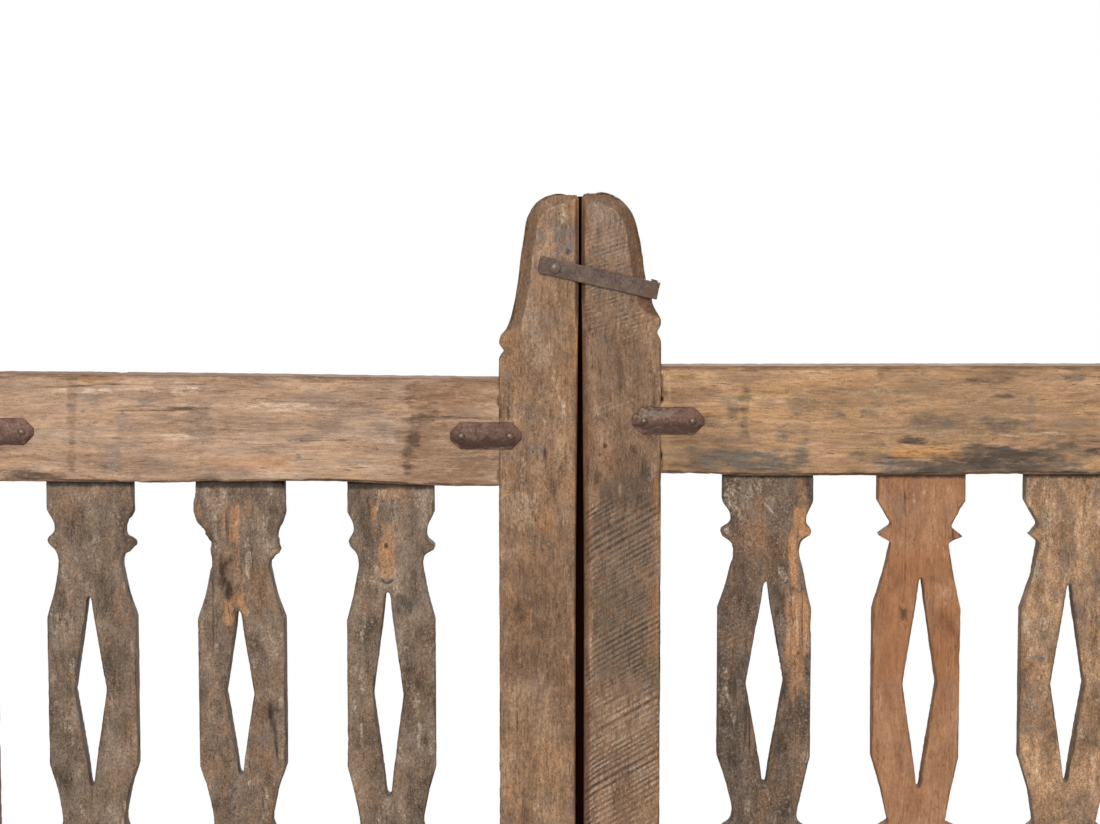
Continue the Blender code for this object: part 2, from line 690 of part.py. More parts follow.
def hinge_eye(leaf, hinge, height, empty):
    """A ring that drops over a pintle, on a tang driven into the hanging stile."""
    name = leaf["name"] + "_eye_" + hinge
    bm = bmesh.new()
    add_cylinder(bm, (0, 0, -EYE_HEIGHT / 2), (0, 0, EYE_HEIGHT / 2), EYE_RADIUS)
    eye = add_object(name, mesh_from(bm, name), IRON)
    eye.location = (leaf["side"] * HINGE_X, 0.0, height)
    half = TANG_SIZE / 2
    tang = across(leaf, HANGING_OUTER - TANG_DEPTH, HINGE_X, (-half, half), (height - half, height + half))
    join(eye, box_mesh(name + "_tang", tang))
    bm = bmesh.new()
    bore_foot = eye.location - Vector((0, 0, EYE_HEIGHT))
    bore_head = eye.location + Vector((0, 0, EYE_HEIGHT))
    add_cylinder(bm, bore_foot, bore_head, PIN_RADIUS + PIN_PLAY)
    cut(eye, mesh_from(bm, name + "_bore"))
    attach(eye, empty)


def pintle(leaf, hinge, height):
    """An upright pin with a collar under the eye, on an arm from a plate that goes on the post."""
    name = leaf["name"] + "_pintle_" + hinge
    side = leaf["side"]
    seat = height - EYE_HEIGHT / 2 - FIT
    arm_top = seat - COLLAR_HEIGHT
    arm_foot = arm_top - ARM_HEIGHT
    pin_top = height + EYE_HEIGHT / 2 + PIN_ABOVE_EYE
    x = side * HINGE_X
    bm = bmesh.new()
    add_cylinder(bm, (x, 0, arm_foot), (x, 0, pin_top), PIN_RADIUS)
    obj = add_object(name, mesh_from(bm, name), IRON)
    bm = bmesh.new()
    add_cylinder(bm, (x, 0, arm_foot), (x, 0, seat), COLLAR_RADIUS)
    join(obj, mesh_from(bm, name + "_collar"))
    face = HINGE_X + PINTLE_REACH
    arm = across(leaf, HINGE_X, face + PLATE_THICKNESS / 2,
                 (-ARM_WIDTH / 2, ARM_WIDTH / 2), (arm_foot, arm_top))
    join(obj, box_mesh(name + "_arm", arm))
    middle = (arm_foot + arm_top) / 2
    plate = across(leaf, face, face + PLATE_THICKNESS, (-PLATE_WIDTH / 2, PLATE_WIDTH / 2),
                   (middle - PLATE_HEIGHT / 2, middle + PLATE_HEIGHT / 2))
    join(obj, box_mesh(name + "_plate", plate))
    bm = bmesh.new()
    for y in (-1, 1):
        for z in (-1, 1):
            hole_y = y * (PLATE_WIDTH / 2 - PLATE_HOLE_MARGIN)
            hole_z = middle + z * (PLATE_HEIGHT / 2 - PLATE_HOLE_MARGIN)
            add_cylinder(bm, (side * (face - OVERCUT), hole_y, hole_z),
                         (side * (face + PLATE_THICKNESS + OVERCUT), hole_y, hole_z),
                         PLATE_HOLE_RADIUS, steps=NAIL_STEPS)
    cut(obj, mesh_from(bm, name + "_holes"))


# Latch

def latch_shape():
    """Places along and across the bar, from its pivot: the lip's inner and outer face and its foot."""
    lip_foot = -LATCH_WIDTH / 2 + LIP_CUT_BACK
    pivot_x = -(STILE_INNER + LATCH_PIVOT_INSET)
    seat_x = STILE_OUTER - SEAT_INSET + HOOK_CLEARANCE
    lip_inner = (seat_x - pivot_x - lip_foot * sin(LATCH_SLOPE)) / cos(LATCH_SLOPE)
    seat_z = RIGHT_HEAD_TOP - SEAT_DROP
    pivot_z = seat_z + lip_inner * sin(LATCH_SLOPE) - lip_foot * cos(LATCH_SLOPE)
    return {"pivot": (pivot_x, pivot_z), "lip_foot": lip_foot,
            "lip_inner": lip_inner, "end": lip_inner + LATCH_THICKNESS}


def latch_pivot():
    x, z = latch_shape()["pivot"]
    return Vector((x, FRONT - LATCH_STANDOFF - LATCH_THICKNESS / 2, z))


def latch_mesh():
    """The bar, its lip round the stile's edge and the lip's tapered return, about the pivot."""
    shape = latch_shape()
    inner, end, foot = shape["lip_inner"], shape["end"], shape["lip_foot"]
    half = LATCH_WIDTH / 2
    face = LATCH_THICKNESS / 2
    leg_front = STILE_DEPTH / 2 + HOOK_BEHIND - latch_pivot().y
    leg_back = leg_front + LATCH_THICKNESS
    bm = bmesh.new()
    turn = LATCH_TAIL_CORNER
    tail = []
    for centre, start in ((half - turn, pi / 2), (turn - half, pi)):
        for step in range(CURVE_STEPS + 1):
            angle = start + step / CURVE_STEPS * pi / 2
            tail.append((turn - LATCH_TAIL + turn * cos(angle), centre + turn * sin(angle)))
    outline = tail + [(inner, -half), (end, -half), (end, foot), (end, half), (inner, half)]
    front = ring(bm, -face, outline)
    back = ring(bm, face, outline)
    bm.faces.new(front)
    wall(bm, front, back)
    low_inner, low_end, foot_end, top_end, top_inner = back[len(tail):]
    foot_inner = bm.verts.new((inner, face, foot))
    bm.faces.new(back[:len(tail)] + [low_inner, foot_inner, top_inner])
    bm.faces.new((low_inner, low_end, foot_end, foot_inner))

    section = [(inner, foot), (end, foot), (end, half), (inner, half)]
    bend = ring(bm, leg_front, section)
    rear = ring(bm, leg_back, section)
    wall(bm, [foot_inner, foot_end, top_end, top_inner], bend)
    wall(bm, bend, rear, skip=len(section) - 1)
    bm.faces.new(rear)
    tip_front = bm.verts.new((end - LEG_RETURN, leg_front, half))
    tip_rear = bm.verts.new((end - LEG_RETURN, leg_back, half))
    bm.faces.new((bend[-1], rear[-1], tip_rear, tip_front))
    bm.faces.new((bend[0], rear[0], tip_rear, tip_front))
    bm.faces.new((bend[-1], bend[0], tip_front))
    bm.faces.new((rear[-1], rear[0], tip_rear))
    return mesh_from(bm, "latch_bar")


def latch_bar(empty):
    pivot = latch_pivot()
    bar = add_object("latch_bar", latch_mesh(), IRON)
    bar.location = pivot
    bar.rotation_euler = (0.0, LATCH_SLOPE, 0.0)
    through = Vector((0.0, OVERCUT, 0.0))
    bm = bmesh.new()
    add_cylinder(bm, pivot - through, pivot + through, LATCH_PIN_RADIUS + LATCH_PIN_PLAY)
    cut(bar, mesh_from(bm, "latch_bar_hole"))
    bpy.context.view_layer.update()
    attach(bar, empty)


def latch_pin(stile, empty):
    """A round-headed pin through the bar and into the left stile."""
    pivot = latch_pivot()
    head_y = -LATCH_THICKNESS / 2 - FIT
    shank_end = FRONT + LATCH_PIN_DEPTH - pivot.y
    radius = LATCH_PIN_HEAD_RADIUS
    dome = [(radius * sin(angle), head_y - LATCH_PIN_HEAD_HEIGHT * cos(angle))
            for angle in (pi / 2 * step / CURVE_STEPS for step in range(CURVE_STEPS + 1))]
    profile = dome + [(LATCH_PIN_RADIUS, head_y), (LATCH_PIN_RADIUS, shank_end), (0.0, shank_end)]
    bm = bmesh.new()
    spin_profile(bm, profile, ROUND_STEPS)
    pin = add_object("latch_pin", mesh_from(bm, "latch_pin"), NAIL_IRON)
    pin.location = pivot
    bm = bmesh.new()
    add_cylinder(bm, (pivot.x, FRONT - OVERCUT, pivot.z),
                 (pivot.x, FRONT + LATCH_PIN_DEPTH + FIT, pivot.z), LATCH_PIN_RADIUS + FIT)
    cut(stile, mesh_from(bm, "latch_pin_hole"))
    attach(pin, empty)


def build_leaf(leaf):
    empty = axis_empty(leaf["name"] + "_leaf_axis", (leaf["side"] * HINGE_X, 0.0, 0.0))
    stile = meeting_stile(leaf, empty)
    hanging_stile(leaf, empty)
    for level in rail_levels():
        rail(leaf, level, empty)
    for place in BALUSTER_PLACES:
        baluster(leaf, place, empty)
    for tie in tie_places(leaf):
        tie_plate(leaf, tie, empty)
        tie_nails(leaf, tie, empty)
    for hinge, height in hinge_heights(leaf).items():
        hinge_eye(leaf, hinge, height, empty)
        pintle(leaf, hinge, height)
    return empty, stile


left_axis, left_stile = build_leaf(LEAVES[0])
right_axis, right_stile = build_leaf(LEAVES[1])
closing_strip(LEAVES[1], right_stile, right_axis)
latch_axis = axis_empty("latch_axis", latch_pivot(), left_axis)
latch_bar(latch_axis)
latch_pin(left_stile, left_axis)
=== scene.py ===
import json
import math

import bpy
import numpy as np
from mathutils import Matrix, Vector
from mathutils.kdtree import KDTree

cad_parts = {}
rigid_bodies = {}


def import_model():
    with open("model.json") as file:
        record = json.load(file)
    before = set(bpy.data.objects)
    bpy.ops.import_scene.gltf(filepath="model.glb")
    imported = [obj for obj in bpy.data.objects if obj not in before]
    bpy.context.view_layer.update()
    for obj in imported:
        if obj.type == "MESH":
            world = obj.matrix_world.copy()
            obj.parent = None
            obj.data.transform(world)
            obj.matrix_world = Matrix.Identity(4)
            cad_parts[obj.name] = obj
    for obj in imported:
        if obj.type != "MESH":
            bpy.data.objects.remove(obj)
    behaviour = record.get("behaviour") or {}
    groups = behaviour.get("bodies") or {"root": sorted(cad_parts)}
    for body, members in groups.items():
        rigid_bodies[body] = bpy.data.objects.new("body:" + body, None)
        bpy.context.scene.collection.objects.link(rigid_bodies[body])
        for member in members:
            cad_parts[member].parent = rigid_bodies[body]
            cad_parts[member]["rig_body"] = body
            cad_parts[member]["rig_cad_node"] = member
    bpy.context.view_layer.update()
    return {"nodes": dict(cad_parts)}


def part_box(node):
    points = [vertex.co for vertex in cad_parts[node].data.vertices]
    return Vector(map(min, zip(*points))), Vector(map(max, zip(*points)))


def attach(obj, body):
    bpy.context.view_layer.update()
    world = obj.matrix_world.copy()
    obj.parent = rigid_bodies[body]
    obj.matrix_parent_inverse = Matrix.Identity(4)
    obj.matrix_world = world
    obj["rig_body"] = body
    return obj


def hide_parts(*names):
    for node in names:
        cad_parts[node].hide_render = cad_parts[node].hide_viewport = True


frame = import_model()
cadNodes = frame["nodes"]
bpy.context.scene.view_settings.view_transform = "Standard"
print("gate: frame loaded with", len(cadNodes), "solids")

mm = 0.001
mmInMetre = 1000.0

# the camera stands where the photograph was taken from
viewpoint = {"place": (0.0, -3.025, 1.005), "aim": (-0.033, -0.025, 0.717),
             "lens": 89.7, "sensor": 36.0, "width": 1100, "height": 824}


# picking, copying and applying, as by hand

def deselectAll():
    bpy.ops.object.select_all(action="DESELECT")


def pick(piece):
    deselectAll()
    piece.select_set(True)
    bpy.context.view_layer.objects.active = piece


def applyStep(piece, kind, **settings):
    pick(piece)
    step = piece.modifiers.new(kind.lower(), kind)
    for name, value in settings.items():
        setattr(step, name, value)
    bpy.ops.object.modifier_apply(modifier=step.name)


mergeGap = 0.00002


def copySolid(nodeName, pieceName):
    pick(cadNodes[nodeName])
    bpy.ops.object.duplicate(linked=False)
    piece = bpy.context.active_object
    piece.name = pieceName
    piece.data.name = pieceName
    piece.parent = None
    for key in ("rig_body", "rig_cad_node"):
        if key in piece:
            del piece[key]
    piece.data.materials.clear()
    bpy.ops.object.mode_set(mode="EDIT")
    bpy.ops.mesh.select_all(action="SELECT")
    bpy.ops.mesh.remove_doubles(threshold=mergeGap)
    bpy.ops.object.mode_set(mode="OBJECT")
    return piece


# a copy of the solid with a fine even mesh, ready to be worn
def startPiece(pieceName, look):
    piece = copySolid(look["node"], pieceName)
    applyStep(piece, "REMESH", mode="VOXEL", voxel_size=look["voxel"], adaptivity=0.0)
    applyStep(piece, "SMOOTH", factor=0.5, iterations=look["smooth"])
    return piece


def finishPiece(piece, look, material):
    pick(piece)
    bpy.ops.object.shade_smooth()
    piece.data.materials.append(material)
    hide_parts(look["node"])
    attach(piece, look["body"])


def readPoints(piece):
    mesh = piece.data
    count = len(mesh.vertices)
    points = np.empty(count * 3, np.float32)
    mesh.vertices.foreach_get("co", points)
    normals = np.empty(count * 3, np.float32)
    mesh.vertex_normals.foreach_get("vector", normals)
    return points.reshape(-1, 3).astype(float), normals.reshape(-1, 3).astype(float)


def writePoints(piece, points):
    piece.data.vertices.foreach_set("co", points.astype(np.float32).ravel())
    piece.data.update()


def writeLayers(piece, layers):
    for name, values in layers.items():
        layer = piece.data.attributes.new(name, "FLOAT", "POINT")
        layer.data.foreach_set("value", np.clip(values, 0.0, 1.0).astype(np.float32))


# soft noise for the hand work, the same on every run

scatter = {"x": 374761393, "y": 668265263, "z": 1440662683, "seed": 974634619, "mix": 1274126177}
longMask = 0xFFFFFFFF
shortMask = 0xFFFF
layerStep = 17  # from the seed of one layer of noise to the next


def lattice(i, j, k, seed):
    n = (i * scatter["x"] + j * scatter["y"] + k * scatter["z"] + seed * scatter["seed"]) & longMask
    n = ((n ^ (n >> 13)) * scatter["mix"]) & longMask
    n = n ^ (n >> 16)
    return (n & shortMask) / float(shortMask)


def eased(t):
    return t * t * (3.0 - 2.0 * t)


def ramp(values, low, high):
    return eased(np.clip((values - low) / (high - low), 0.0, 1.0))


def softNoise(points, sizeMm, seed):
    cell = points * mmInMetre / np.asarray(sizeMm, float)
    base = np.floor(cell).astype(np.int64)
    part = eased(cell - base)
    total = np.zeros(len(points))
    for di in (0, 1):
        wi = part[:, 0] if di else 1.0 - part[:, 0]
        for dj in (0, 1):
            wj = part[:, 1] if dj else 1.0 - part[:, 1]
            for dk in (0, 1):
                wk = part[:, 2] if dk else 1.0 - part[:, 2]
                total += wi * wj * wk * lattice(base[:, 0] + di, base[:, 1] + dj, base[:, 2] + dk, seed)
    return total


def layeredNoise(points, sizeMm, seed, layers):
    total = np.zeros(len(points))
    weight = 0.0
    for layer in range(layers):
        share = 0.5 ** layer
        total += share * softNoise(points, np.asarray(sizeMm, float) * share, seed + layerStep * layer)
        weight += share
    return total / weight


def grainSize(along, across, length):
    size = [across, across, across]
    size[along] = length
    return size


# where a point of the gate falls in the photograph, in its own pixels
def photoPlace(points):
    eye = np.array(viewpoint["place"])
    ahead = np.array(viewpoint["aim"]) - eye
    ahead /= np.linalg.norm(ahead)
    right = np.cross(ahead, (0.0, 0.0, 1.0))
    right /= np.linalg.norm(right)
    up = np.cross(right, ahead)
    away = points - eye
    depth = away @ ahead
    focus = viewpoint["lens"] / viewpoint["sensor"] * viewpoint["width"]
    u = viewpoint["width"] / 2 + focus * (away @ right) / depth
    v = viewpoint["height"] / 2 - focus * (away @ up) / depth
    return u, v


# marks are placed in photograph pixels, as (look, place, size, strength, depth in mm): a blot has a middle
# and half sizes, a patch has two corners and how soft its edges are, a line has two ends and a width
markEdges = {"blot": {"ragged": 1.6, "core": 0.45, "end": 1.25},
             "patch": {"ragged": 3.0, "core": -1.0, "end": 1.0},
             "line": {"ragged": 0.5, "core": 0.35, "thick": 1.15, "taper": 0.9}}


def markWeight(place, size, u, v, rough):
    if len(place) == 2:
        edge = markEdges["blot"]
        away = np.hypot((u - place[0]) / size[0], (v - place[1]) / size[1])
        return 1.0 - ramp(away + edge["ragged"] * (rough - 0.5), edge["core"], edge["end"])
    if isinstance(size, tuple):
        edge = markEdges["patch"]
        outU = np.maximum(place[0] - u, u - place[2]) / size[0]
        outV = np.maximum(place[1] - v, v - place[3]) / size[1]
        return 1.0 - ramp(np.maximum(outU, outV) + edge["ragged"] * (rough - 0.5), edge["core"], edge["end"])
    edge = markEdges["line"]
    start, end = np.array(place[:2], float), np.array(place[2:], float)
    run = end - start
    t = np.clip(((u - start[0]) * run[0] + (v - start[1]) * run[1]) / (run @ run), 0.0, 1.0)
    away = np.hypot(u - start[0] - t * run[0], v - start[1] - t * run[1])
    thin = size * (edge["thick"] - edge["taper"] * (2.0 * np.abs(t - 0.5)) ** 3)
    return 1.0 - ramp(away + edge["ragged"] * size * (rough - 0.5), edge["core"] * thin, thin)


# a colour as it looks, turned into the light values that shaders take
def tone(red, green, blue):
    linear = []
    for value in (red, green, blue):
        part = value / 255.0
        linear.append(part / 12.92 if part <= 0.04045 else ((part + 0.055) / 1.055) ** 2.4)
    return (*linear, 1.0)


# material nodes, a few short helpers

def addNode(tree, kind, inputs=None, **settings):
    node = tree.nodes.new(kind)
    for name, value in settings.items():
        setattr(node, name, value)
    for name, value in (inputs or {}).items():
        if isinstance(value, bpy.types.NodeSocket):
            tree.links.new(value, node.inputs[name])
        else:
            node.inputs[name].default_value = value
    return node


def mathNode(tree, operation, first, second=0.0):
    return addNode(tree, "ShaderNodeMath", {0: first, 1: second}, operation=operation).outputs[0]


def plus(tree, first, second):
    return mathNode(tree, "ADD", first, second)


def times(tree, first, second):
    return mathNode(tree, "MULTIPLY", first, second)


def remap(tree, value, low, high, toLow=0.0, toHigh=1.0):
    node = addNode(tree, "ShaderNodeMapRange", {"Value": value, "From Min": low, "From Max": high,
                                                "To Min": toLow, "To Max": toHigh})
    return node.outputs[0]


# the mix node's inputs 0, 6 and 7 are its factor and two colours, and output 2 its colour
def blendTone(tree, factor, below, above):
    node = addNode(tree, "ShaderNodeMix", data_type="RGBA", blend_type="MIX")
    for index, value in ((0, factor), (6, below), (7, above)):
        if isinstance(value, bpy.types.NodeSocket):
            tree.links.new(value, node.inputs[index])
        else:
            node.inputs[index].default_value = value
    return node.outputs[2]


def noiseAt(tree, place, scale, detail, roughness):
    node = addNode(tree, "ShaderNodeTexNoise", {"Vector": place, "Scale": scale, "Detail": detail,
                                                "Roughness": roughness})
    return node.outputs[0]


def moved(tree, place, shift):
    return addNode(tree, "ShaderNodeMapping", {"Vector": place, "Location": shift}).outputs[0]


def stretched(tree, place, along, factor):
    scale = [1.0, 1.0, 1.0]
    scale[along] = factor
    return addNode(tree, "ShaderNodeMapping", {"Vector": place, "Scale": scale}).outputs[0]


def layerValue(tree, name):
    return addNode(tree, "ShaderNodeAttribute", attribute_name=name).outputs["Fac"]


def toneRamp(tree, factor, stops, tones):
    node = addNode(tree, "ShaderNodeValToRGB", {"Fac": factor})
    band = node.color_ramp
    while len(band.elements) < len(stops):
        band.elements.new(0.5)
    for element, position, colour in zip(band.elements, stops, tones):
        element.position = position
        element.color = tone(*colour)
    return node.outputs[0]


# where a ray only looks at the background, directly, in a gloss or through glass
def seenDirectly(tree):
    path = addNode(tree, "ShaderNodeLightPath")
    seen = mathNode(tree, "MAXIMUM", path.outputs["Is Camera Ray"], path.outputs["Is Glossy Ray"])
    return mathNode(tree, "MAXIMUM", seen, path.outputs["Is Transmission Ray"])


def newMaterial(name):
    material = bpy.data.materials.new(name)
    material.use_nodes = True
    tree = material.node_tree
    tree.nodes.clear()
    shader = addNode(tree, "ShaderNodeBsdfPrincipled")
    out = addNode(tree, "ShaderNodeOutputMaterial")
    tree.links.new(shader.outputs[0], out.inputs[0])
    return material, tree, shader


# what a wooden piece has unless its own look says otherwise
woodBase = {
    "weatherEverywhere": 0.0, "bareEverywhere": 0.0, "scuffEverywhere": 0.0, "scuffKind": "scuff",
    "checks": 1.0, "edgeScuff": 0.25, "edgeBare": 0.20, "wallGrime": 0.75, "ragged": 1.0, "markShare": 0.88,
    "shine": 0.32, "run": 1.0, "hairRun": 0.07, "hairZoneRun": 0.30, "lineRun": 0.03, "even": 1.0,
    "marks": (), "saw": (),
}

# noise in the wood's colour: the place it reads, its stretch along the grain, scale, detail and roughness,
# where a stretch is a number to go with the look's run, or the look's own name for it
woodFields = {
    "bands": ("bent", 0.16, 56.0, 6.0, 0.62), "mottle": ("shifted", 0.55, 36.0, 9.0, 0.70),
    "warm": ("other", 0.40, 27.0, 7.0, 0.68), "ash": ("other", 0.60, 46.0, 8.0, 0.72),
    "patch": ("other", 0.50, 110.0, 6.0, 0.76), "fibres": ("bent", "streak", 380.0, 4.0, 0.70),
    "fleck": ("shifted", "speckle", 400.0, 4.0, 0.75), "grit": ("shifted", "even", 640.0, 3.0, 0.70),
    "dots": ("other", "speckle", 520.0, 2.0, 0.6), "hair": ("bent", "hairRun", 130.0, 3.0, 0.55),
    "hairZones": ("other", "hairZoneRun", 60.0, 3.0, 0.5), "lines": ("shifted", "lineRun", 330.0, 4.0, 0.6),
}
woodPaint = {
    "seedShift": 0.37, "otherPlace": (4.3, 2.9, 7.1), "stops": (0.37, 0.45, 0.53, 0.63),
    "warmShows": (0.49, 0.66), "ashShows": (0.49, 0.68), "patchBreak": 2.6, "fleckBreak": 1.6,
    "breakLevel": -2.1, "markStart": 0.35, "markShows": (0.12, 0.90), "bareRagged": 0.25,
    "lineShows": (0.52, 0.66), "lineShare": 0.55, "bareShows": (0.3, 0.8), "cleanShows": (0.75, 0.15),
    "ashCleans": (0.62, 0.42), "ashLeast": 0.25, "poreShows": (0.42, 0.33), "speckShows": (0.58, 0.68),
    "hairWidth": 0.011, "hairShows": (0.47, 0.56), "hairShare": 0.85, "bareCleans": 0.9,
    "roughShows": (0.3, 0.7), "roughness": (0.90, 0.68), "rubbedGloss": -0.26, "bumpStrength": 0.65,
    "fibreBump": 0.45, "fleckBump": 0.45, "gritBump": 0.25, "hairBump": -0.30, "bendStretch": 0.4,
    "bendScale": 16.0, "bendDetail": 3.0, "bendAmount": 0.020,
}


# straight grain wanders a little
def bentPlace(tree, place, along):
    longPlace = stretched(tree, place, along, woodPaint["bendStretch"])
    noise = addNode(tree, "ShaderNodeTexNoise", {"Vector": longPlace, "Scale": woodPaint["bendScale"],
                                                 "Detail": woodPaint["bendDetail"]})
    bend = addNode(tree, "ShaderNodeVectorMath", {0: noise.outputs[1], 1: (0.5, 0.5, 0.5)},
                   operation="SUBTRACT")
    bend = addNode(tree, "ShaderNodeVectorMath", {0: bend.outputs[0], "Scale": woodPaint["bendAmount"]},
                   operation="SCALE")
    return addNode(tree, "ShaderNodeVectorMath", {0: place, 1: bend.outputs[0]}, operation="ADD").outputs[0]


# weathered wood: soft patches of several tones, fibres, hairline checks, flecks and grit, and painted marks
def gateWood(name, look):
    material, tree, shader = newMaterial(name)
    along, paint = look["grain"], woodPaint
    objectPlace = addNode(tree, "ShaderNodeTexCoord").outputs["Object"]
    places = {"shifted": moved(tree, objectPlace, [paint["seedShift"] * look["seed"]] * 3)}
    places["other"] = moved(tree, places["shifted"], paint["otherPlace"])
    places["bent"] = bentPlace(tree, places["shifted"], along)
    fields = {}
    for field, (where, stretch, scale, detail, roughness) in woodFields.items():
        factor = look[stretch] if isinstance(stretch, str) else stretch * look["run"]
        fields[field] = noiseAt(tree, stretched(tree, places[where], along, factor), scale, detail, roughness)

    lined = look["lined"]
    blend = plus(tree, times(tree, fields["bands"], lined), times(tree, fields["mottle"], 1.0 - lined))
    colour = toneRamp(tree, blend, paint["stops"], look["tones"])
    for field in ("warm", "ash"):
        share = remap(tree, fields[field], *paint[field + "Shows"], 0.0, look[field + "Share"])
        colour = blendTone(tree, share, colour, tone(*look[field]))

    # painted marks break up over the patch noise, and get ragged edges from the flecks
    broken = plus(tree, times(tree, fields["patch"], paint["patchBreak"]),
                  times(tree, fields["fleck"], paint["fleckBreak"]))
    broken = plus(tree, broken, paint["breakLevel"])
    # the grime and stain layers also carry painted shade, and the scuff layer painted highlights
    for layer in ("weather", "bare", "cool", "scuff", "grime", "stain"):
        amount = layerValue(tree, layer)
        ragged = look["ragged"] * (paint["bareRagged"] if layer == "bare" else 1.0)
        spread = times(tree, remap(tree, amount, 0.0, paint["markStart"], 0.0, ragged), broken)
        share = look.get(layer + "Share", look["markShare"])
        factor = remap(tree, plus(tree, amount, spread), *paint["markShows"], 0.0, share)
        colour = blendTone(tree, factor, colour, tone(*look[layer]))

    # bare wood is smooth with straight lines, other wood has small dark pores and pale specks in places
    bare, stained = layerValue(tree, "bare"), layerValue(tree, "stain")
    lines = times(tree, remap(tree, fields["lines"], *paint["lineShows"], 0.0, paint["lineShare"]),
                  remap(tree, bare, *paint["bareShows"]))
    colour = blendTone(tree, lines, colour, tone(*look["grime"]))
    clean = remap(tree, plus(tree, times(tree, bare, paint["bareCleans"]), stained), *paint["cleanShows"])
    clean = times(tree, clean, remap(tree, fields["ash"], *paint["ashCleans"], paint["ashLeast"], 1.0))
    pores = times(tree, remap(tree, fields["dots"], *paint["poreShows"], 0.0, look["pores"]), clean)
    specks = times(tree, remap(tree, fields["dots"], *paint["speckShows"], 0.0, look["specks"]), clean)
    colour = blendTone(tree, pores, colour, tone(*look["pore"]))
    colour = blendTone(tree, specks, colour, tone(*look["scuff"]))

    # hairline checks along the grain
    crossing = mathNode(tree, "ABSOLUTE", plus(tree, fields["hair"], -0.5))
    hairline = times(tree, remap(tree, crossing, paint["hairWidth"], 0.0),
                     remap(tree, fields["hairZones"], *paint["hairShows"], 0.0, paint["hairShare"]))
    colour = blendTone(tree, hairline, colour, tone(*look["pore"]))

    # the fine light and dark of fibres, flecks and grit
    light = 1.0 - 0.5 * (look["fibre"] + look["fleck"] + look["grit"])
    for field, share in (("fibres", look["fibre"]), ("fleck", look["fleck"]), ("grit", look["grit"])):
        light = addNode(tree, "ShaderNodeMath", {0: fields[field], 1: share, 2: light},
                        operation="MULTIPLY_ADD").outputs[0]
    colour = addNode(tree, "ShaderNodeVectorMath", {0: colour, "Scale": light}, operation="SCALE").outputs[0]
    tree.links.new(colour, shader.inputs["Base Color"])

    rough = plus(tree, remap(tree, fields["fibres"], *paint["roughShows"], *paint["roughness"]),
                 times(tree, layerValue(tree, "rubbed"), paint["rubbedGloss"]))
    tree.links.new(rough, shader.inputs["Roughness"])
    shader.inputs["Specular IOR Level"].default_value = look["shine"]
    height = plus(tree, times(tree, fields["fibres"], paint["fibreBump"]),
                  times(tree, fields["fleck"], paint["fleckBump"]))
    height = plus(tree, height, times(tree, fields["grit"], paint["gritBump"]))
    height = plus(tree, height, times(tree, hairline, paint["hairBump"]))
    bump = addNode(tree, "ShaderNodeBump", {"Height": height, "Strength": paint["bumpStrength"],
                                            "Distance": look["bump"]})
    tree.links.new(bump.outputs[0], shader.inputs["Normal"])
    return material


# nail and pin holes are not edges of a board
holeBoxes = [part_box(name) for name in cadNodes if "_nail_" in name or name == "latch_pin"]
holeRim = 0.004


def nearHole(points):
    near = np.zeros(len(points), bool)
    for low, high in holeBoxes:
        inX = (points[:, 0] > low[0] - holeRim) & (points[:, 0] < high[0] + holeRim)
        near |= inX & (points[:, 2] > low[2] - holeRim) & (points[:, 2] < high[2] + holeRim)
    return near


edgeSearch = {"skin": 0.008, "insideHole": 0.05}


# how far a point of the front or back lies from the nearest edge of the board, seen from the front
def edgeDistance(points, normals):
    distance = np.zeros(len(points))
    hole = nearHole(points)
    upright = np.abs(normals[:, 1]) < 0.5
    sideWall = upright & ~hole
    front, back = points[:, 1].min(), points[:, 1].max()
    for facing in (-1.0, 1.0):
        nearFront = points[:, 1] < front + edgeSearch["skin"]
        nearBack = points[:, 1] > back - edgeSearch["skin"]
        wall = points[sideWall & (nearFront if facing < 0 else nearBack)]
        tree = KDTree(len(wall))
        for index, point in enumerate(wall):
            tree.insert((point[0], 0.0, point[2]), index)
        tree.balance()
        for index in np.nonzero(~sideWall & (normals[:, 1] * facing > 0))[0]:
            distance[index] = tree.find((points[index, 0], 0.0, points[index, 2]))[2]
    distance[hole & upright] = edgeSearch["insideHole"]
    return distance


# boards stay whole under the iron that is nailed on them
ironOnWood = [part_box(name) for name in cadNodes if "_tie_" in name or name == "latch_bar"]
ironRim = {"outside": 0.004, "inside": 0.001, "keeps": 0.9}


def between(places, low, high):
    start = ramp(places, low - ironRim["outside"], low + ironRim["inside"])
    return start * (1.0 - ramp(places, high - ironRim["inside"], high + ironRim["outside"]))


def underIron(points):
    covered = np.zeros(len(points))
    for low, high in ironOnWood:
        inX, inZ = (between(points[:, axis], low[axis], high[axis]) for axis in (0, 2))
        covered = np.maximum(covered, inX * inZ)
    return covered * (points[:, 1] < 0.0)


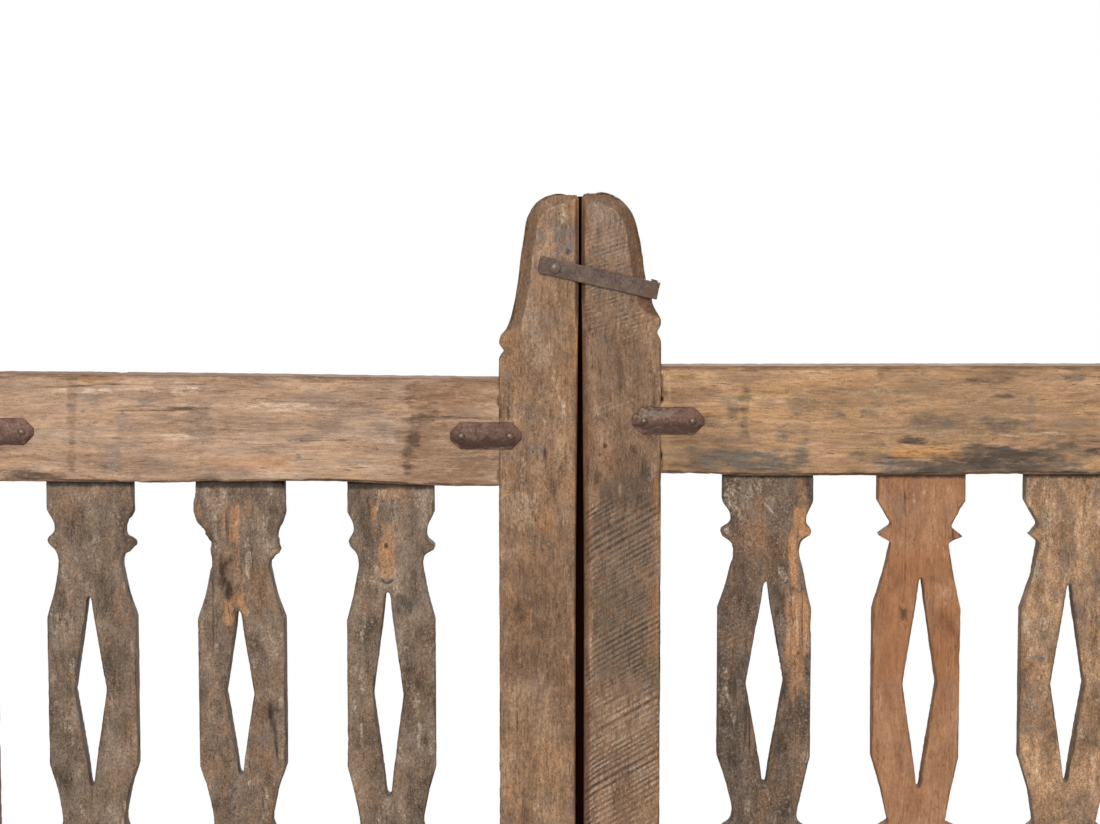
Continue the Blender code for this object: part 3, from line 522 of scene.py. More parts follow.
# noise in the shape of the wood: size across and along the grain in mm, step from the piece's seed, layers,
# and the values between which patches of it show
woodNoise = {
    "waves": {"size": (42, 150), "step": 0, "layers": 2},
    "ridges": {"size": (4.2, 70), "step": 5, "layers": 2},
    "pits": {"size": (5.0, 8), "step": 6, "layers": 2},
    "nibbles": {"size": (8, 26), "step": 9, "layers": 3},
    "chips": {"size": (10, 34), "step": 10, "layers": 2, "shows": (0.66, 0.82)},
    "checks": {"size": (15, 240), "step": 21, "layers": 2},
    "checkZones": {"size": (34, 120), "step": 22, "layers": 1, "shows": (0.64, 0.80)},
    "weather": {"size": (46, 130), "step": 31, "layers": 3, "shows": (0.44, 0.68)},
    "bare": {"size": (12, 60), "step": 32, "layers": 3, "shows": (0.64, 0.78)},
    "cool": {"size": (26, 26), "step": 33, "layers": 3, "shows": (0.66, 0.82)},
    "scuff": {"size": (9, 30), "step": 34, "layers": 3, "shows": (0.58, 0.76)},
    "longScuff": {"size": (9, 110), "step": 34, "layers": 3, "shows": (0.58, 0.76)},
    "stain": {"size": (9, 30), "step": 35, "layers": 3, "shows": (0.68, 0.82)},
    "marks": {"size": (6, 20), "step": 41, "layers": 3},
}


def woodField(points, look, name):
    noise = woodNoise[name]
    size = grainSize(look["grain"], *noise["size"])
    return layeredNoise(points, size, look["seed"] + noise["step"], noise["layers"])


def woodPatches(points, look, name):
    return ramp(woodField(points, look, name), *woodNoise[name]["shows"])


# a layer keeps the strongest of what is laid on it
def coat(board, layer, amount):
    board["layers"][layer] = np.maximum(board["layers"][layer], amount)


def sharpEdges(normals):
    frontness = normals[:, 1] ** 2
    return np.clip(4.0 * frontness * (1.0 - frontness), 0.0, 1.0)


skinWear = {"waveDepth": 0.0010, "pitDepth": 0.00070, "chipDepth": 0.0008, "checkDepth": 0.0014,
            "checkWidth": 0.040, "wall": (0.25, 0.70), "rim": (0.0010, 0.0055), "worn": (0.34, 0.72),
            "cool": 0.45, "checkStain": 0.8, "stain": 0.4, "rimGrime": 0.5, "grimy": (0.25, 0.6),
            "rubbed": 0.7, "scuffed": (0.45, 0.72), "bared": (0.55, 0.78)}


# planed waves, raised grain, worn arrises, chips and drying checks, the colours that come with them, and side
# walls painted darker as shade
def wearSkin(board, look):
    points, normals, wear = board["points"], board["normals"], skinWear
    arris = sharpEdges(normals)
    wall = 1.0 - ramp(np.abs(normals[:, 1]), *wear["wall"])
    inward = edgeDistance(points, normals)
    rim = 1.0 - ramp(inward, *wear["rim"])
    nibble = woodField(points, look, "nibbles")
    fromLine = np.abs(woodField(points, look, "checks") - 0.5)
    check = (1.0 - ramp(fromLine, 0.0, wear["checkWidth"])) * woodPatches(points, look, "checkZones")

    cut = wear["waveDepth"] * woodField(points, look, "waves")
    cut += look["ridge"] * mm * woodField(points, look, "ridges")
    cut += wear["pitDepth"] * woodField(points, look, "pits")
    cut += arris * look["edgeWear"] * mm * ramp(nibble, *wear["worn"])
    cut += rim * woodPatches(points, look, "chips") * look["edgeWear"] * wear["chipDepth"]
    cut += look["checks"] * wear["checkDepth"] * check

    stain = wear["checkStain"] * look["checks"] * check + wear["stain"] * woodPatches(points, look, "stain")
    layers = {
        "weather": look["weatherEverywhere"] * woodPatches(points, look, "weather"),
        "bare": look["bareEverywhere"] * woodPatches(points, look, "bare"),
        "cool": wear["cool"] * woodPatches(points, look, "cool"),
        "scuff": look["scuffEverywhere"] * woodPatches(points, look, look["scuffKind"]),
        "stain": stain,
        # walls that turn sideways are painted darker as shade
        "grime": np.maximum(wear["rimGrime"] * rim * ramp(nibble, *wear["grimy"]), look["wallGrime"] * wall),
        "rubbed": wear["rubbed"] * arris,
    }
    layers["scuff"] += look["edgeScuff"] * arris * ramp(nibble, *wear["scuffed"])
    layers["bare"] += look["edgeBare"] * np.maximum(arris, rim) * ramp(nibble, *wear["bared"])
    board.update(cut=cut, layers=layers, wall=wall, inward=inward, nibble=nibble)


markFacing = {"front": (0.10, 0.45), "chew": (-0.006, 0.010)}


# the marks that the photograph shows
def placeMarks(board, look):
    points, layers = board["points"], board["layers"]
    for kind, place, size, strength, depthMm in look["marks"]:
        side = ramp(-points[:, 1], *markFacing["chew"]) if kind == "chew" else board["facing"]
        weight = markWeight(place, size, board["u"], board["v"], board["rough"]) * side
        if kind in layers:
            coat(board, kind, strength * weight)
        if kind == "clear":
            layers["stain"] *= 1.0 - strength * weight
        board["cut"] += depthMm * mm * weight


sawLook = {"wander": 0.0022, "wanderSize": (60, 60, 40), "jitter": 1.6, "jitterSize": 3.1, "faint": 0.35,
           "strokeSize": 1.7, "strokeShows": (0.25, 0.70), "ends": 0.015, "flat": (0.6, 0.95), "least": 0.60,
           "zoneSize": (60, 60, 26), "zoneShows": (0.30, 0.55), "crest": (0.86, 1.0), "crestTint": 0.62}


# slanting saw cuts, strongest where the saw was not planed away
def sawCuts(board, look):
    points, seed = board["points"], look["seed"]
    z = points[:, 2]
    for count, saw in enumerate(look["saw"]):
        slope = math.radians(saw["angle"])
        climb = z * math.cos(slope) - points[:, 0] * math.sin(slope)
        climb = climb + sawLook["wander"] * layeredNoise(points, sawLook["wanderSize"], seed + 51 + count, 2)
        stroke = np.column_stack((climb, 0.0 * climb, 0.0 * climb))
        jitter = softNoise(stroke, (sawLook["jitterSize"] * saw["spacingMm"], 1, 1), seed + 52)
        phase = climb * mmInMetre / saw["spacingMm"] + sawLook["jitter"] * jitter
        wave = (0.5 + 0.5 * np.sin(2.0 * math.pi * phase)) ** saw["thin"]
        force = softNoise(stroke, (sawLook["strokeSize"] * saw["spacingMm"], 1, 1), seed + 53)
        wave = wave * (sawLook["faint"] + (1.0 - sawLook["faint"]) * ramp(force, *sawLook["strokeShows"]))
        zone = ramp(z, saw["from"] - sawLook["ends"], saw["from"] + sawLook["ends"])
        zone *= 1.0 - ramp(z, saw["to"] - sawLook["ends"], saw["to"] + sawLook["ends"])
        zone *= ramp(np.abs(board["normals"][:, 1]), *sawLook["flat"])
        kept = ramp(layeredNoise(points, sawLook["zoneSize"], seed + 55 + count, 3), *sawLook["zoneShows"])
        zone *= sawLook["least"] + (1.0 - sawLook["least"]) * kept
        board["cut"] += saw["depthMm"] * mm * zone * wave
        coat(board, "scuff", sawLook["crestTint"] * saw["tint"] * zone * ramp(1.0 - wave, *sawLook["crest"]))
        coat(board, "stain", saw["tint"] * zone * wave)


headLook = {"start": 0.03, "innerBand": 0.0045, "inner": (0.010, 0.026), "topBand": 0.0125, "bulge": 1.25,
            "flankFade": 0.45, "flankTop": (0.030, 0.010), "ragged": 0.2, "grimy": (0.01, 0.16),
            "crestStart": (0.0, 0.02), "crestEnd": (0.06, 0.22), "paled": (0.35, 0.60), "rubbed": 0.6}


# a rounded head is crowned towards its edges, and painted browner there as shade on the flanks, with a
# painted highlight along the crest of the band
def wearHead(board, head):
    x, z = board["points"][:, 0], board["points"][:, 2]
    onHead = ramp(z, head["from"], head["from"] + headLook["start"])
    inner = headLook["innerBand"]
    width = inner + (head["band"] - inner) * ramp(np.abs(x), *headLook["inner"])
    fromTop = np.clip(1.0 - (head["top"] - z) / headLook["topBand"], 0.0, 1.0)
    band = np.maximum(np.clip(1.0 - board["inward"] / width, 0.0, 1.0), fromTop) * onHead
    board["crown"] = head["crown"] * band ** headLook["bulge"]
    upper, lower = headLook["flankTop"]
    flank = 1.0 - headLook["flankFade"] * ramp(z, head["top"] - upper, head["top"] - lower)
    edge = ramp(band + headLook["ragged"] * (board["nibble"] - 0.5), *headLook["grimy"])
    # the band is painted darker as shade on the flanks, less near the top that faces the light
    coat(board, "grime", head["grime"] * flank * edge)
    # a pale line along the crest is a painted highlight
    crest = ramp(band, *headLook["crestStart"]) * (1.0 - ramp(band, *headLook["crestEnd"]))
    coat(board, "scuff", head["pale"] * onHead * crest * ramp(board["rough"], *headLook["paled"]))
    coat(board, "rubbed", headLook["rubbed"] * onHead)


# the highest or lowest point in each column of a board
def columnLimit(column, heights, limit, start):
    found = np.full(column.max() + 1, start)
    limit.at(found, column, heights)
    return found


railLook = {"column": 0.02, "stripEnd": (0.0044, 0.0054), "strip": 0.60, "stripDepth": 0.0010,
            "lineStart": (0.0042, 0.0054), "lineEnd": (0.0064, 0.0085), "lineGrime": 0.65,
            "grimy": (0.30, 0.55), "lineBare": 0.55, "bared": (0.52, 0.64), "foot": (0.0022, 0.0058),
            "footStain": 0.60, "footMore": 0.4, "stained": (0.42, 0.60)}


# a rail has a paler strip along its top and a lower edge painted dark, partly as the shade under the rail and
# partly as dirt
def wearRail(board, look):
    points, facing, nibble = board["points"], board["facing"], board["nibble"]
    column = ((points[:, 0] - points[:, 0].min()) / railLook["column"]).astype(int)
    below = columnLimit(column, points[:, 2], np.maximum, -np.inf)[column] - points[:, 2]
    above = points[:, 2] - columnLimit(column, points[:, 2], np.minimum, np.inf)[column]
    onStrip = (1.0 - ramp(below, *railLook["stripEnd"])) * facing
    coat(board, look["strip"], railLook["strip"] * onStrip)
    board["cut"] += railLook["stripDepth"] * onStrip
    under = ramp(below, *railLook["lineStart"]) * (1.0 - ramp(below, *railLook["lineEnd"])) * facing
    coat(board, "grime", railLook["lineGrime"] * under * ramp(nibble, *railLook["grimy"]))
    coat(board, "bare", railLook["lineBare"] * under * ramp(board["rough"], *railLook["bared"]))
    # the lower edge is painted dark as the shade under the rail, broken up like dirt
    edge = (1.0 - ramp(above, *railLook["foot"])) * facing
    stained = railLook["footStain"] + railLook["footMore"] * ramp(nibble, *railLook["stained"])
    coat(board, "stain", edge * stained)
    board.update(below=below, above=above)


meetingLook = {"close": (0.0005, 0.0025), "handled": (0.76, 0.86), "handledShare": 0.65, "kept": 0.85,
               "inside": (0.5, 0.9), "deep": (0.019, 0.014), "nearGap": (0.0040, 0.0095),
               "grimy": (0.10, 0.40), "bared": (0.40, 0.62)}


# the two meeting edges are painted dark as the shade inside the gap where they face each other, and are
# handled beside the gap
def wearMeeting(board, meeting):
    points = board["points"]
    fromGap = np.abs(points[:, 0] - meeting["x"])
    close = 1.0 - ramp(fromGap, *meetingLook["close"])
    handled = 1.0 - meetingLook["handledShare"] * ramp(points[:, 2], *meetingLook["handled"])
    board["cut"] *= 1.0 - meetingLook["kept"] * close
    # faces turned into the gap, deep inside it, are painted dark as shade
    inside = close * ramp(np.abs(board["normals"][:, 0]), *meetingLook["inside"])
    coat(board, "stain", inside * ramp(np.abs(points[:, 1]), *meetingLook["deep"]))
    nearGap = 1.0 - ramp(fromGap, *meetingLook["nearGap"])
    coat(board, "grime", meeting["grime"] * handled * nearGap * ramp(board["nibble"], *meetingLook["grimy"]))
    coat(board, "bare", meeting["bare"] * nearGap * ramp(board["rough"], *meetingLook["bared"]))
    board["handled"] = handled


hewnReach = {"rise": (0.040, 0.008), "drop": (0.035, 0.006)}


# a hewn rail runs a little over the straight lines of the solid, by so many mm at these photograph pixels
def hewRail(points, board, hewn):
    rise, drop = (np.interp(board["u"], *zip(*hewn[way])) for way in ("rise", "drop"))
    points[:, 2] += mm * rise * ramp(board["below"], *hewnReach["rise"])
    points[:, 2] -= mm * drop * ramp(board["above"], *hewnReach["drop"])


halfStile = 0.025
crownFacing = (0.35, 0.80)


def crownHead(points, board):
    crown = board["crown"]
    points[:, 1] -= np.sign(points[:, 1]) * crown * ramp(np.abs(board["normals"][:, 1]), *crownFacing)
    points[:, 1] = np.clip(points[:, 1], crown - halfStile, halfStile - crown)


cornerLook = {"waver": (20, 20, 60), "least": 0.75, "column": 0.001, "widest": 0.040, "level": slice(14, 20),
              "under": 0.0004, "fall": 0.0050, "fallEnd": (0.0015, 0.0058), "zone": 0.0145,
              "reach": (0.024, 0.006), "gapEdge": (0.004, 0.016), "gapTop": 0.93, "gapRun": 0.47}


# the meeting edges are worn round, the inner top corner stands squarer than the solid's, and the gap opens
# towards the foot
def shapeMeeting(points, board, look):
    meeting, corner = look["meeting"], cornerLook
    waver = corner["least"] + 0.5 * layeredNoise(points, corner["waver"], look["seed"] + 61, 2)
    radius = meeting["radius"] * board["handled"] * waver
    side = 1.0 if meeting["x"] > 0 else -1.0
    for face in (-1.0, 1.0):
        inX = radius - (points[:, 0] - meeting["x"]) * side
        inY = radius - (halfStile - points[:, 1] * face)
        away = np.hypot(inX, inY)
        outside = np.where((inX > 0) & (inY > 0), np.maximum(away - radius, 0.0), 0.0)
        over = outside / np.maximum(away, 1e-6)
        points[:, 0] += side * inX * over
        points[:, 1] -= face * inY * over
    across = np.abs(points[:, 0])
    column = (np.clip(across, 0.0, corner["widest"]) / corner["column"]).astype(int)
    crest = columnLimit(column, points[:, 2], np.maximum, 0.0)
    fall = corner["fall"] * (1.0 - ramp(across, *corner["fallEnd"])) ** 2
    level = crest[corner["level"]].mean() - corner["under"] - fall
    lift = np.maximum(level - crest[column], 0.0) * (across < corner["zone"])
    start, full = corner["reach"]
    points[:, 2] += lift * ramp(points[:, 2], crest[column] - start, crest[column] - full)
    edge = 1.0 - ramp(np.abs(points[:, 0] - meeting["x"]), *corner["gapEdge"])
    down = ramp(corner["gapTop"] - points[:, 2], 0.0, corner["gapRun"])
    points[:, 0] += side * meeting["opens"] * edge * down


stripReach = {"start": 0.030, "full": 0.004}


# the closing strip ends just under the top of the heads
def raiseStrip(points, taller):
    top = points[:, 2].max()
    points[:, 2] += taller * ramp(points[:, 2], top - stripReach["start"], top - stripReach["full"])


shoulder = {"reach": 0.003, "start": 0.005, "blend": 0.004, "stainTop": (0.0030, 0.0080),
            "stainFoot": (0.001, 0.005)}


# shoulders reach a little into what they stand against, so no light shows through a joint
def shoulderReach(past):
    return shoulder["reach"] * ramp(past, 0.0, shoulder["blend"])


def railShoulders(points, inner, outer):
    sign, across = np.sign(points[:, 0]), np.abs(points[:, 0])
    inwards, outwards = inner + shoulder["start"] - across, across - outer + shoulder["start"]
    points[:, 0] = sign * (across - shoulderReach(inwards) + shoulderReach(outwards))


nubLook = {"side": (0.010, 0.028), "below": 0.063, "spread": 0.021}
slotLook = {"halfWidth": 0.010, "clear": 0.06, "wall": 0.6, "spreadX": 0.006, "spreadZ": 0.013}


def middleX(points):
    return 0.5 * (points[:, 0].min() + points[:, 0].max())


def shapeBaluster(points, board, look):
    lower, upper = look["shoulderZ"]
    points[:, 2] += shoulderReach(points[:, 2] - upper + shoulder["start"])
    points[:, 2] -= shoulderReach(lower + shoulder["start"] - points[:, 2])
    # the ends of the baluster are painted dark as the shade where it meets the rails
    coat(board, "stain", np.maximum(1.0 - ramp(upper - points[:, 2], *shoulder["stainTop"]),
                                    1.0 - ramp(points[:, 2] - lower, *shoulder["stainFoot"])))

    # the nubs hang a little lower than the solid's
    for way, edge in ((1.0, upper), (-1.0, lower)):
        for side, drop in zip((-1.0, 1.0), look["nubDrop"]):
            onSide = ramp((points[:, 0] - middleX(points)) * side, *nubLook["side"])
            near = np.exp(-((points[:, 2] - edge + way * nubLook["below"]) / nubLook["spread"]) ** 2)
            points[:, 2] -= way * drop * onSide * near

    # the saw ran the points of the slot out thinner than the solid shows them
    inSlot = np.abs(points[:, 0] - middleX(points)) < slotLook["halfWidth"]
    inSlot &= board["wall"] > slotLook["wall"]
    inSlot &= (points[:, 2] > lower + slotLook["clear"]) & (points[:, 2] < upper - slotLook["clear"])
    for way in (1.0, -1.0):
        tip = points[inSlot][np.argmax(points[inSlot][:, 2] * way)]
        awayX = (points[:, 0] - tip[0]) / slotLook["spreadX"]
        awayZ = (points[:, 2] - tip[2]) / slotLook["spreadZ"]
        points[:, 2] += way * look["slotReach"] * np.exp(-awayX ** 2 - awayZ ** 2)


# the hand work on a wooden piece, first what is cut and coloured, then what is moved
def weatherWood(piece, look):
    points, normals = readPoints(piece)
    u, v = photoPlace(points)
    board = {"points": points, "normals": normals, "u": u, "v": v, "rough": woodField(points, look, "marks"),
             "facing": ramp(-normals[:, 1], *markFacing["front"])}
    wearSkin(board, look)
    placeMarks(board, look)
    sawCuts(board, look)
    if "head" in look:
        wearHead(board, look["head"])
    if "strip" in look:
        wearRail(board, look)
    if "meeting" in look:
        wearMeeting(board, look["meeting"])
    # a front seen only through the gap is painted dark as shade
    if "darkFront" in look:
        coat(board, "stain", ramp(-normals[:, 1], *look["darkFront"]))
    board["cut"] *= 1.0 - ironRim["keeps"] * underIron(points)

    points = points - normals * board["cut"][:, None]
    if "hewn" in look:
        hewRail(points, board, look["hewn"])
    if "head" in look:
        crownHead(points, board)
    if "meeting" in look:
        shapeMeeting(points, board, look)
    if "taller" in look:
        raiseStrip(points, look["taller"])
    if "shoulderX" in look:
        railShoulders(points, *look["shoulderX"])
    if "shoulderZ" in look:
        shapeBaluster(points, board, look)
    writePoints(piece, points)
    writeLayers(piece, board["layers"])


backStart = 0.002


# the back carries fewer faces than the side that the photograph shows
def thinBack(piece, keep):
    points = readPoints(piece)[0]
    behind = piece.vertex_groups.new(name="behind")
    behind.add(np.nonzero(points[:, 1] > backStart)[0].tolist(), 1.0, "REPLACE")
    applyStep(piece, "DECIMATE", ratio=keep, vertex_group="behind", vertex_group_factor=1.0)
    piece.vertex_groups.clear()


def makeWood(pieceName, ownLook):
    look = dict(woodBase, **ownLook)
    piece = startPiece(pieceName, look)
    weatherWood(piece, look)
    if "keep" in look:
        thinBack(piece, look["keep"])
    finishPiece(piece, look, gateWood(pieceName + "Finish", look))
    print("gate:", pieceName, len(piece.data.polygons), "faces")


# tones are dark, low, main and pale, as they look in daylight
railTan = {"tones": ((132, 105, 84), (156, 125, 101), (174, 142, 116), (198, 168, 142)),
           "pore": (88, 65, 50), "warm": (182, 142, 104), "warmShare": 0.55, "ash": (148, 124, 108),
           "ashShare": 0.75, "weather": (112, 95, 83), "bare": (180, 130, 90), "cool": (116, 106, 101),
           "scuff": (208, 182, 156), "grime": (124, 92, 66), "stain": (78, 58, 45), "fibre": 1.0,
           "fleck": 1.0, "grit": 0.9, "streak": 0.06, "speckle": 0.25, "pores": 0.40, "specks": 0.22,
           "lined": 0.52, "run": 0.5, "wallGrime": 0.95}
railGold = {"tones": ((123, 95, 70), (148, 115, 85), (168, 131, 97), (190, 152, 117)), "pore": (80, 59, 43),
            "warm": (180, 139, 92), "warmShare": 0.6, "ash": (136, 111, 90), "ashShare": 0.7,
            "weather": (88, 77, 67), "bare": (192, 138, 84), "cool": (98, 91, 84), "scuff": (196, 166, 130),
            "grime": (112, 82, 56), "stain": (58, 47, 39), "fibre": 1.0, "fleck": 1.0, "grit": 0.9,
            "streak": 0.06, "speckle": 0.25, "pores": 0.40, "specks": 0.20, "lined": 0.50, "run": 0.5,
            "wallGrime": 0.95}
stileBrown = {"tones": ((98, 74, 54), (119, 91, 67), (137, 106, 80), (160, 130, 102)), "pore": (70, 50, 37),
              "warm": (156, 116, 80), "warmShare": 0.6, "ash": (128, 106, 91), "ashShare": 0.65,
              "weather": (112, 94, 81), "bare": (160, 114, 76), "cool": (96, 89, 86),
              "scuff": (186, 160, 134), "grime": (98, 73, 53), "stain": (56, 41, 31), "fibre": 1.3,
              "fleck": 2.1, "grit": 1.8, "streak": 0.08, "speckle": 0.50, "pores": 0.55, "specks": 0.25,
              "lined": 0.34}
stileDark = {"tones": ((88, 66, 48), (111, 84, 62), (129, 99, 75), (150, 120, 94)), "pore": (58, 42, 32),
             "warm": (142, 105, 74), "warmShare": 0.6, "ash": (118, 97, 82), "ashShare": 0.6,
             "weather": (86, 70, 56), "bare": (150, 104, 68), "cool": (94, 87, 83),
             "scuff": (174, 150, 126), "grime": (90, 61, 38), "stain": (44, 32, 25), "fibre": 1.0,
             "fleck": 1.5, "grit": 1.5, "streak": 0.12, "speckle": 0.55, "pores": 0.55, "specks": 0.25,
             "lined": 0.28}
paleGrey = {"tones": ((70, 55, 43), (98, 81, 66), (120, 100, 83), (148, 128, 109)), "pore": (52, 40, 31),
            "warm": (136, 102, 73), "warmShare": 0.65, "ash": (112, 98, 87), "ashShare": 0.75,
            "weather": (98, 85, 74), "bare": (174, 127, 88), "cool": (98, 90, 85), "scuff": (184, 165, 144),
            "grime": (84, 64, 47), "stain": (40, 30, 24), "fibre": 0.7, "fleck": 2.0, "grit": 2.0,
            "streak": 0.30, "speckle": 0.80, "pores": 0.60, "specks": 0.40, "lined": 0.15}
redTan = {"tones": ((128, 88, 60), (148, 104, 73), (160, 116, 83), (174, 131, 98)), "pore": (98, 63, 43),
          "warm": (160, 110, 70), "warmShare": 0.5, "ash": (142, 108, 84), "ashShare": 0.6,
          "weather": (132, 104, 85), "bare": (150, 98, 60), "cool": (118, 97, 86), "scuff": (184, 146, 114),
          "grime": (112, 74, 49), "stain": (74, 48, 33), "fibre": 0.7, "fleck": 0.9, "grit": 0.8,
          "streak": 0.10, "speckle": 0.50, "pores": 0.35, "specks": 0.15, "lined": 0.35}

stileWood = {"slot": "stile_wood", "grain": 2}
railWood = {"slot": "rail_wood", "grain": 0, "shoulderX": (0.0906, 0.6542)}

leftMeetingStile = {
    "node": "left_meeting_stile", "body": "left_leaf", **stileWood, "voxel": 0.0016, "keep": 0.72,
    "smooth": 4, "seed": 11, "ridge": 0.45, "edgeWear": 1.8, "bump": 0.0007, "scuffEverywhere": 0.35,
    "checks": 0.6, **stileBrown,
    "meeting": {"x": -0.0015, "radius": 0.0062, "opens": 0.0030, "grime": 0.35, "bare": 0.75},
    "head": {"from": 0.800, "top": 0.9562, "band": 0.0155, "crown": 0.0070, "grime": 1.0, "pale": 0.50},
    "marks": [
        ("cool", (553, 222, 577, 258), (6, 7), 0.65, 0.2), ("stain", (568, 253), (3.5, 3.5), 0.9, 0.8),
        ("scuff", (517, 296, 546, 364), (7, 9), 0.32, 0.0),
        ("scuff", (530, 340, 552, 366), (5, 6), 0.40, 0.0),
        ("stain", (508, 407, 508, 421), 1.5, 0.9, 1.4), ("stain", (545, 445, 546, 468), 1.5, 0.9, 1.6),
        ("weather", (513, 404, 540, 418), (6, 4), 0.55, 0.2),
        ("scuff", (512, 496, 538, 528), (7, 7), 0.45, 0.0),
        ("bare", (534, 511, 556, 538), (5, 7), 0.55, 0.2),
        ("bare", (505, 530, 574, 660), (16, 20), 0.22, 0.0),
        ("grime", (500, 560, 574, 680), (16, 20), 0.65, 0.0),
        ("cool", (528, 593), (5, 5), 0.8, 0.3), ("cool", (536, 609), (5, 5), 0.8, 0.3),
        ("stain", (510, 600, 540, 625), (9, 7), 0.35, 0.2),
        ("grime", (500, 232, 530, 300), (9, 12), 0.35, 0.0),
        ("grime", (498, 500, 576, 690), (14, 14), 0.30, 0.0),
        ("grime", (500, 290, 576, 372), (12, 12), 0.30, 0.0),
    ],
}
makeWood("leftMeetingStileWood", leftMeetingStile)

rightMeetingStile = {
    "node": "right_meeting_stile", "body": "right_leaf", **stileWood, "voxel": 0.0016, "keep": 0.72,
    "smooth": 4, "seed": 23, "ridge": 0.30, "edgeWear": 1.6, "bump": 0.0007, "scuffEverywhere": 0.25,
    "checks": 0.6, **stileDark,
    "meeting": {"x": 0.0015, "radius": 0.0062, "opens": 0.0030, "grime": 0.90, "bare": 0.55},
    "head": {"from": 0.815, "top": 0.9582, "band": 0.0155, "crown": 0.0070, "grime": 0.95, "pale": 0.75},
    "marks": [
        # a painted sheen on the head
        ("scuff", (590, 201, 630, 233), (8, 8), 0.25, 0.0),
        ("weather", (586, 196, 640, 330), (14, 12), 0.40, 0.0),
        ("cool", (600, 208, 628, 228), (7, 6), 0.30, 0.0), ("scuff", (593, 416, 637, 398), 1.8, 0.36, 0.2),
        ("scuff", (596, 409, 618, 401), 1.5, 0.30, 0.2), ("stain", (605, 446), (3, 3), 0.8, 0.6),
        ("stain", (600, 455), (3, 3), 0.7, 0.6), ("grime", (596, 445, 622, 478), (8, 8), 0.5, 0.1),
        ("stain", (622, 450, 648, 474), (6, 7), 0.5, 0.2),
        ("weather", (597, 472, 662, 514), (8, 7), 0.80, 0.3),
        ("stain", (608, 496, 652, 516), (8, 5), 0.40, 0.2),
        ("weather", (592, 510, 652, 680), (10, 14), 0.75, 0.0),
        ("bare", (653, 472, 664, 660), (3, 12), 0.65, 0.4),
        ("bare", (585, 498, 592, 545), (2.5, 9), 0.55, 0.0),
        ("bare", (585, 418, 593, 456), (3, 8), 0.45, 0.0),
        ("bare", (640, 300, 662, 345), (8, 10), 0.35, 0.0),
        ("stain", (588, 505, 664, 690), (12, 14), 0.31, 0.0),
    ],
    "saw": [
        {"angle": 18.0, "spacingMm": 4.6, "from": 0.790, "to": 0.925,
         "depthMm": 0.38, "tint": 0.46, "thin": 3},
        {"angle": 30.0, "spacingMm": 5.6, "from": 0.080, "to": 0.620,
         "depthMm": 0.50, "tint": 0.74, "thin": 3},
        {"angle": 26.0, "spacingMm": 3.9, "from": 0.300, "to": 0.610,
         "depthMm": 0.25, "tint": 0.44, "thin": 3},
    ],
}
makeWood("rightMeetingStileWood", rightMeetingStile)

leftHangingStile = {
    "node": "left_hanging_stile", "body": "left_leaf", **stileWood, "voxel": 0.0027, "smooth": 3,
    "seed": 37, "ridge": 0.45, "edgeWear": 2.2, "bump": 0.0006, "scuffEverywhere": 0.5,
    "weatherEverywhere": 0.5, **stileBrown,
}
makeWood("leftHangingStileWood", leftHangingStile)

rightHangingStile = {
    "node": "right_hanging_stile", "body": "right_leaf", **stileWood, "voxel": 0.0027, "smooth": 3,
    "seed": 41, "ridge": 0.40, "edgeWear": 2.2, "bump": 0.0006, "weatherEverywhere": 0.5,
    "saw": [
        {"angle": -24.0, "spacingMm": 6.0, "from": 0.12, "to": 0.62,
         "depthMm": 0.5, "tint": 0.36, "thin": 3},
    ],
    **stileDark,
}
makeWood("rightHangingStileWood", rightHangingStile)

leftTopRail = {
    "node": "left_top_rail", "body": "left_leaf", **railWood, "voxel": 0.0015, "keep": 0.72, "smooth": 4,
    "seed": 53, "ridge": 0.50, "edgeWear": 2.4, "bump": 0.0007, "scuffEverywhere": 0.38,
    "scuffKind": "longScuff", "weatherEverywhere": 0.25, "strip": "weather", **railTan,
    "hewn": {"rise": ((60, 3.9), (255, 3.8), (345, 3.0), (470, 2.4)),
             "drop": ((60, 1.0), (150, 1.4), (185, 0.4), (240, -1.0), (295, -2.2), (335, -2.2), (400, 0.6),
                      (450, 2.0), (490, 1.7))},
    "marks": [
        ("stain", (67, 385, 76, 477), (3, 9), 0.45, 0.2),
        ("scuff", (171, 387, 204, 397), (9, 4), 0.55, 0.0),
        ("weather", (183, 404, 213, 443), (9, 9), 0.60, 0.2),
        ("cool", (106, 444, 120, 470), (4, 7), 0.60, 0.2),
        ("bare", (221, 458, 292, 470), (14, 4), 0.60, 0.2),
        ("stain", (406, 384, 414, 478), (4, 12), 0.35, 0.2),
        ("stain", (407, 409, 436, 424), (7, 5), 0.65, 0.3),
        ("stain", (409, 428, 419, 444), (4, 4), 0.85, 0.9),
        ("stain", (404, 446, 411, 474), (3, 5), 0.65, 0.5), ("stain", (377, 449), (3, 3), 0.7, 0.6),
        ("cool", (298, 457), (3, 3), 0.8, 0.4), ("stain", (440, 417, 500, 419), 1.5, 0.6, 0.3),
        ("bare", (76, 381, 120, 386), (8, 2), 0.60, 0.1), ("stain", (250, 402, 342, 404), 1.1, 0.5, 0.5),
        ("stain", (300, 441, 372, 440), 1.1, 0.5, 0.5), ("grime", (405, 378, 500, 488), (16, 9), 0.70, 0.0),
        ("weather", (452, 455, 500, 486), (9, 7), 0.45, 0.0),
        ("cool", (452, 447, 482, 462), (8, 5), 0.40, 0.0),
        ("weather", (300, 392, 405, 440), (26, 13), 0.42, 0.0),
        ("stain", (100, 452, 106, 474), (4, 6), 0.35, 0.1),
        ("weather", (205, 464, 262, 480), (12, 5), 0.45, 0.1),
        ("weather", (150, 414, 175, 424), (9, 4), 0.40, 0.0),
        ("chew", (137, 479), (8, 4), 0.0, 2.8), ("chew", (205, 481), (14, 3), 0.0, 1.6),
    ],
}
makeWood("leftTopRailWood", leftTopRail)

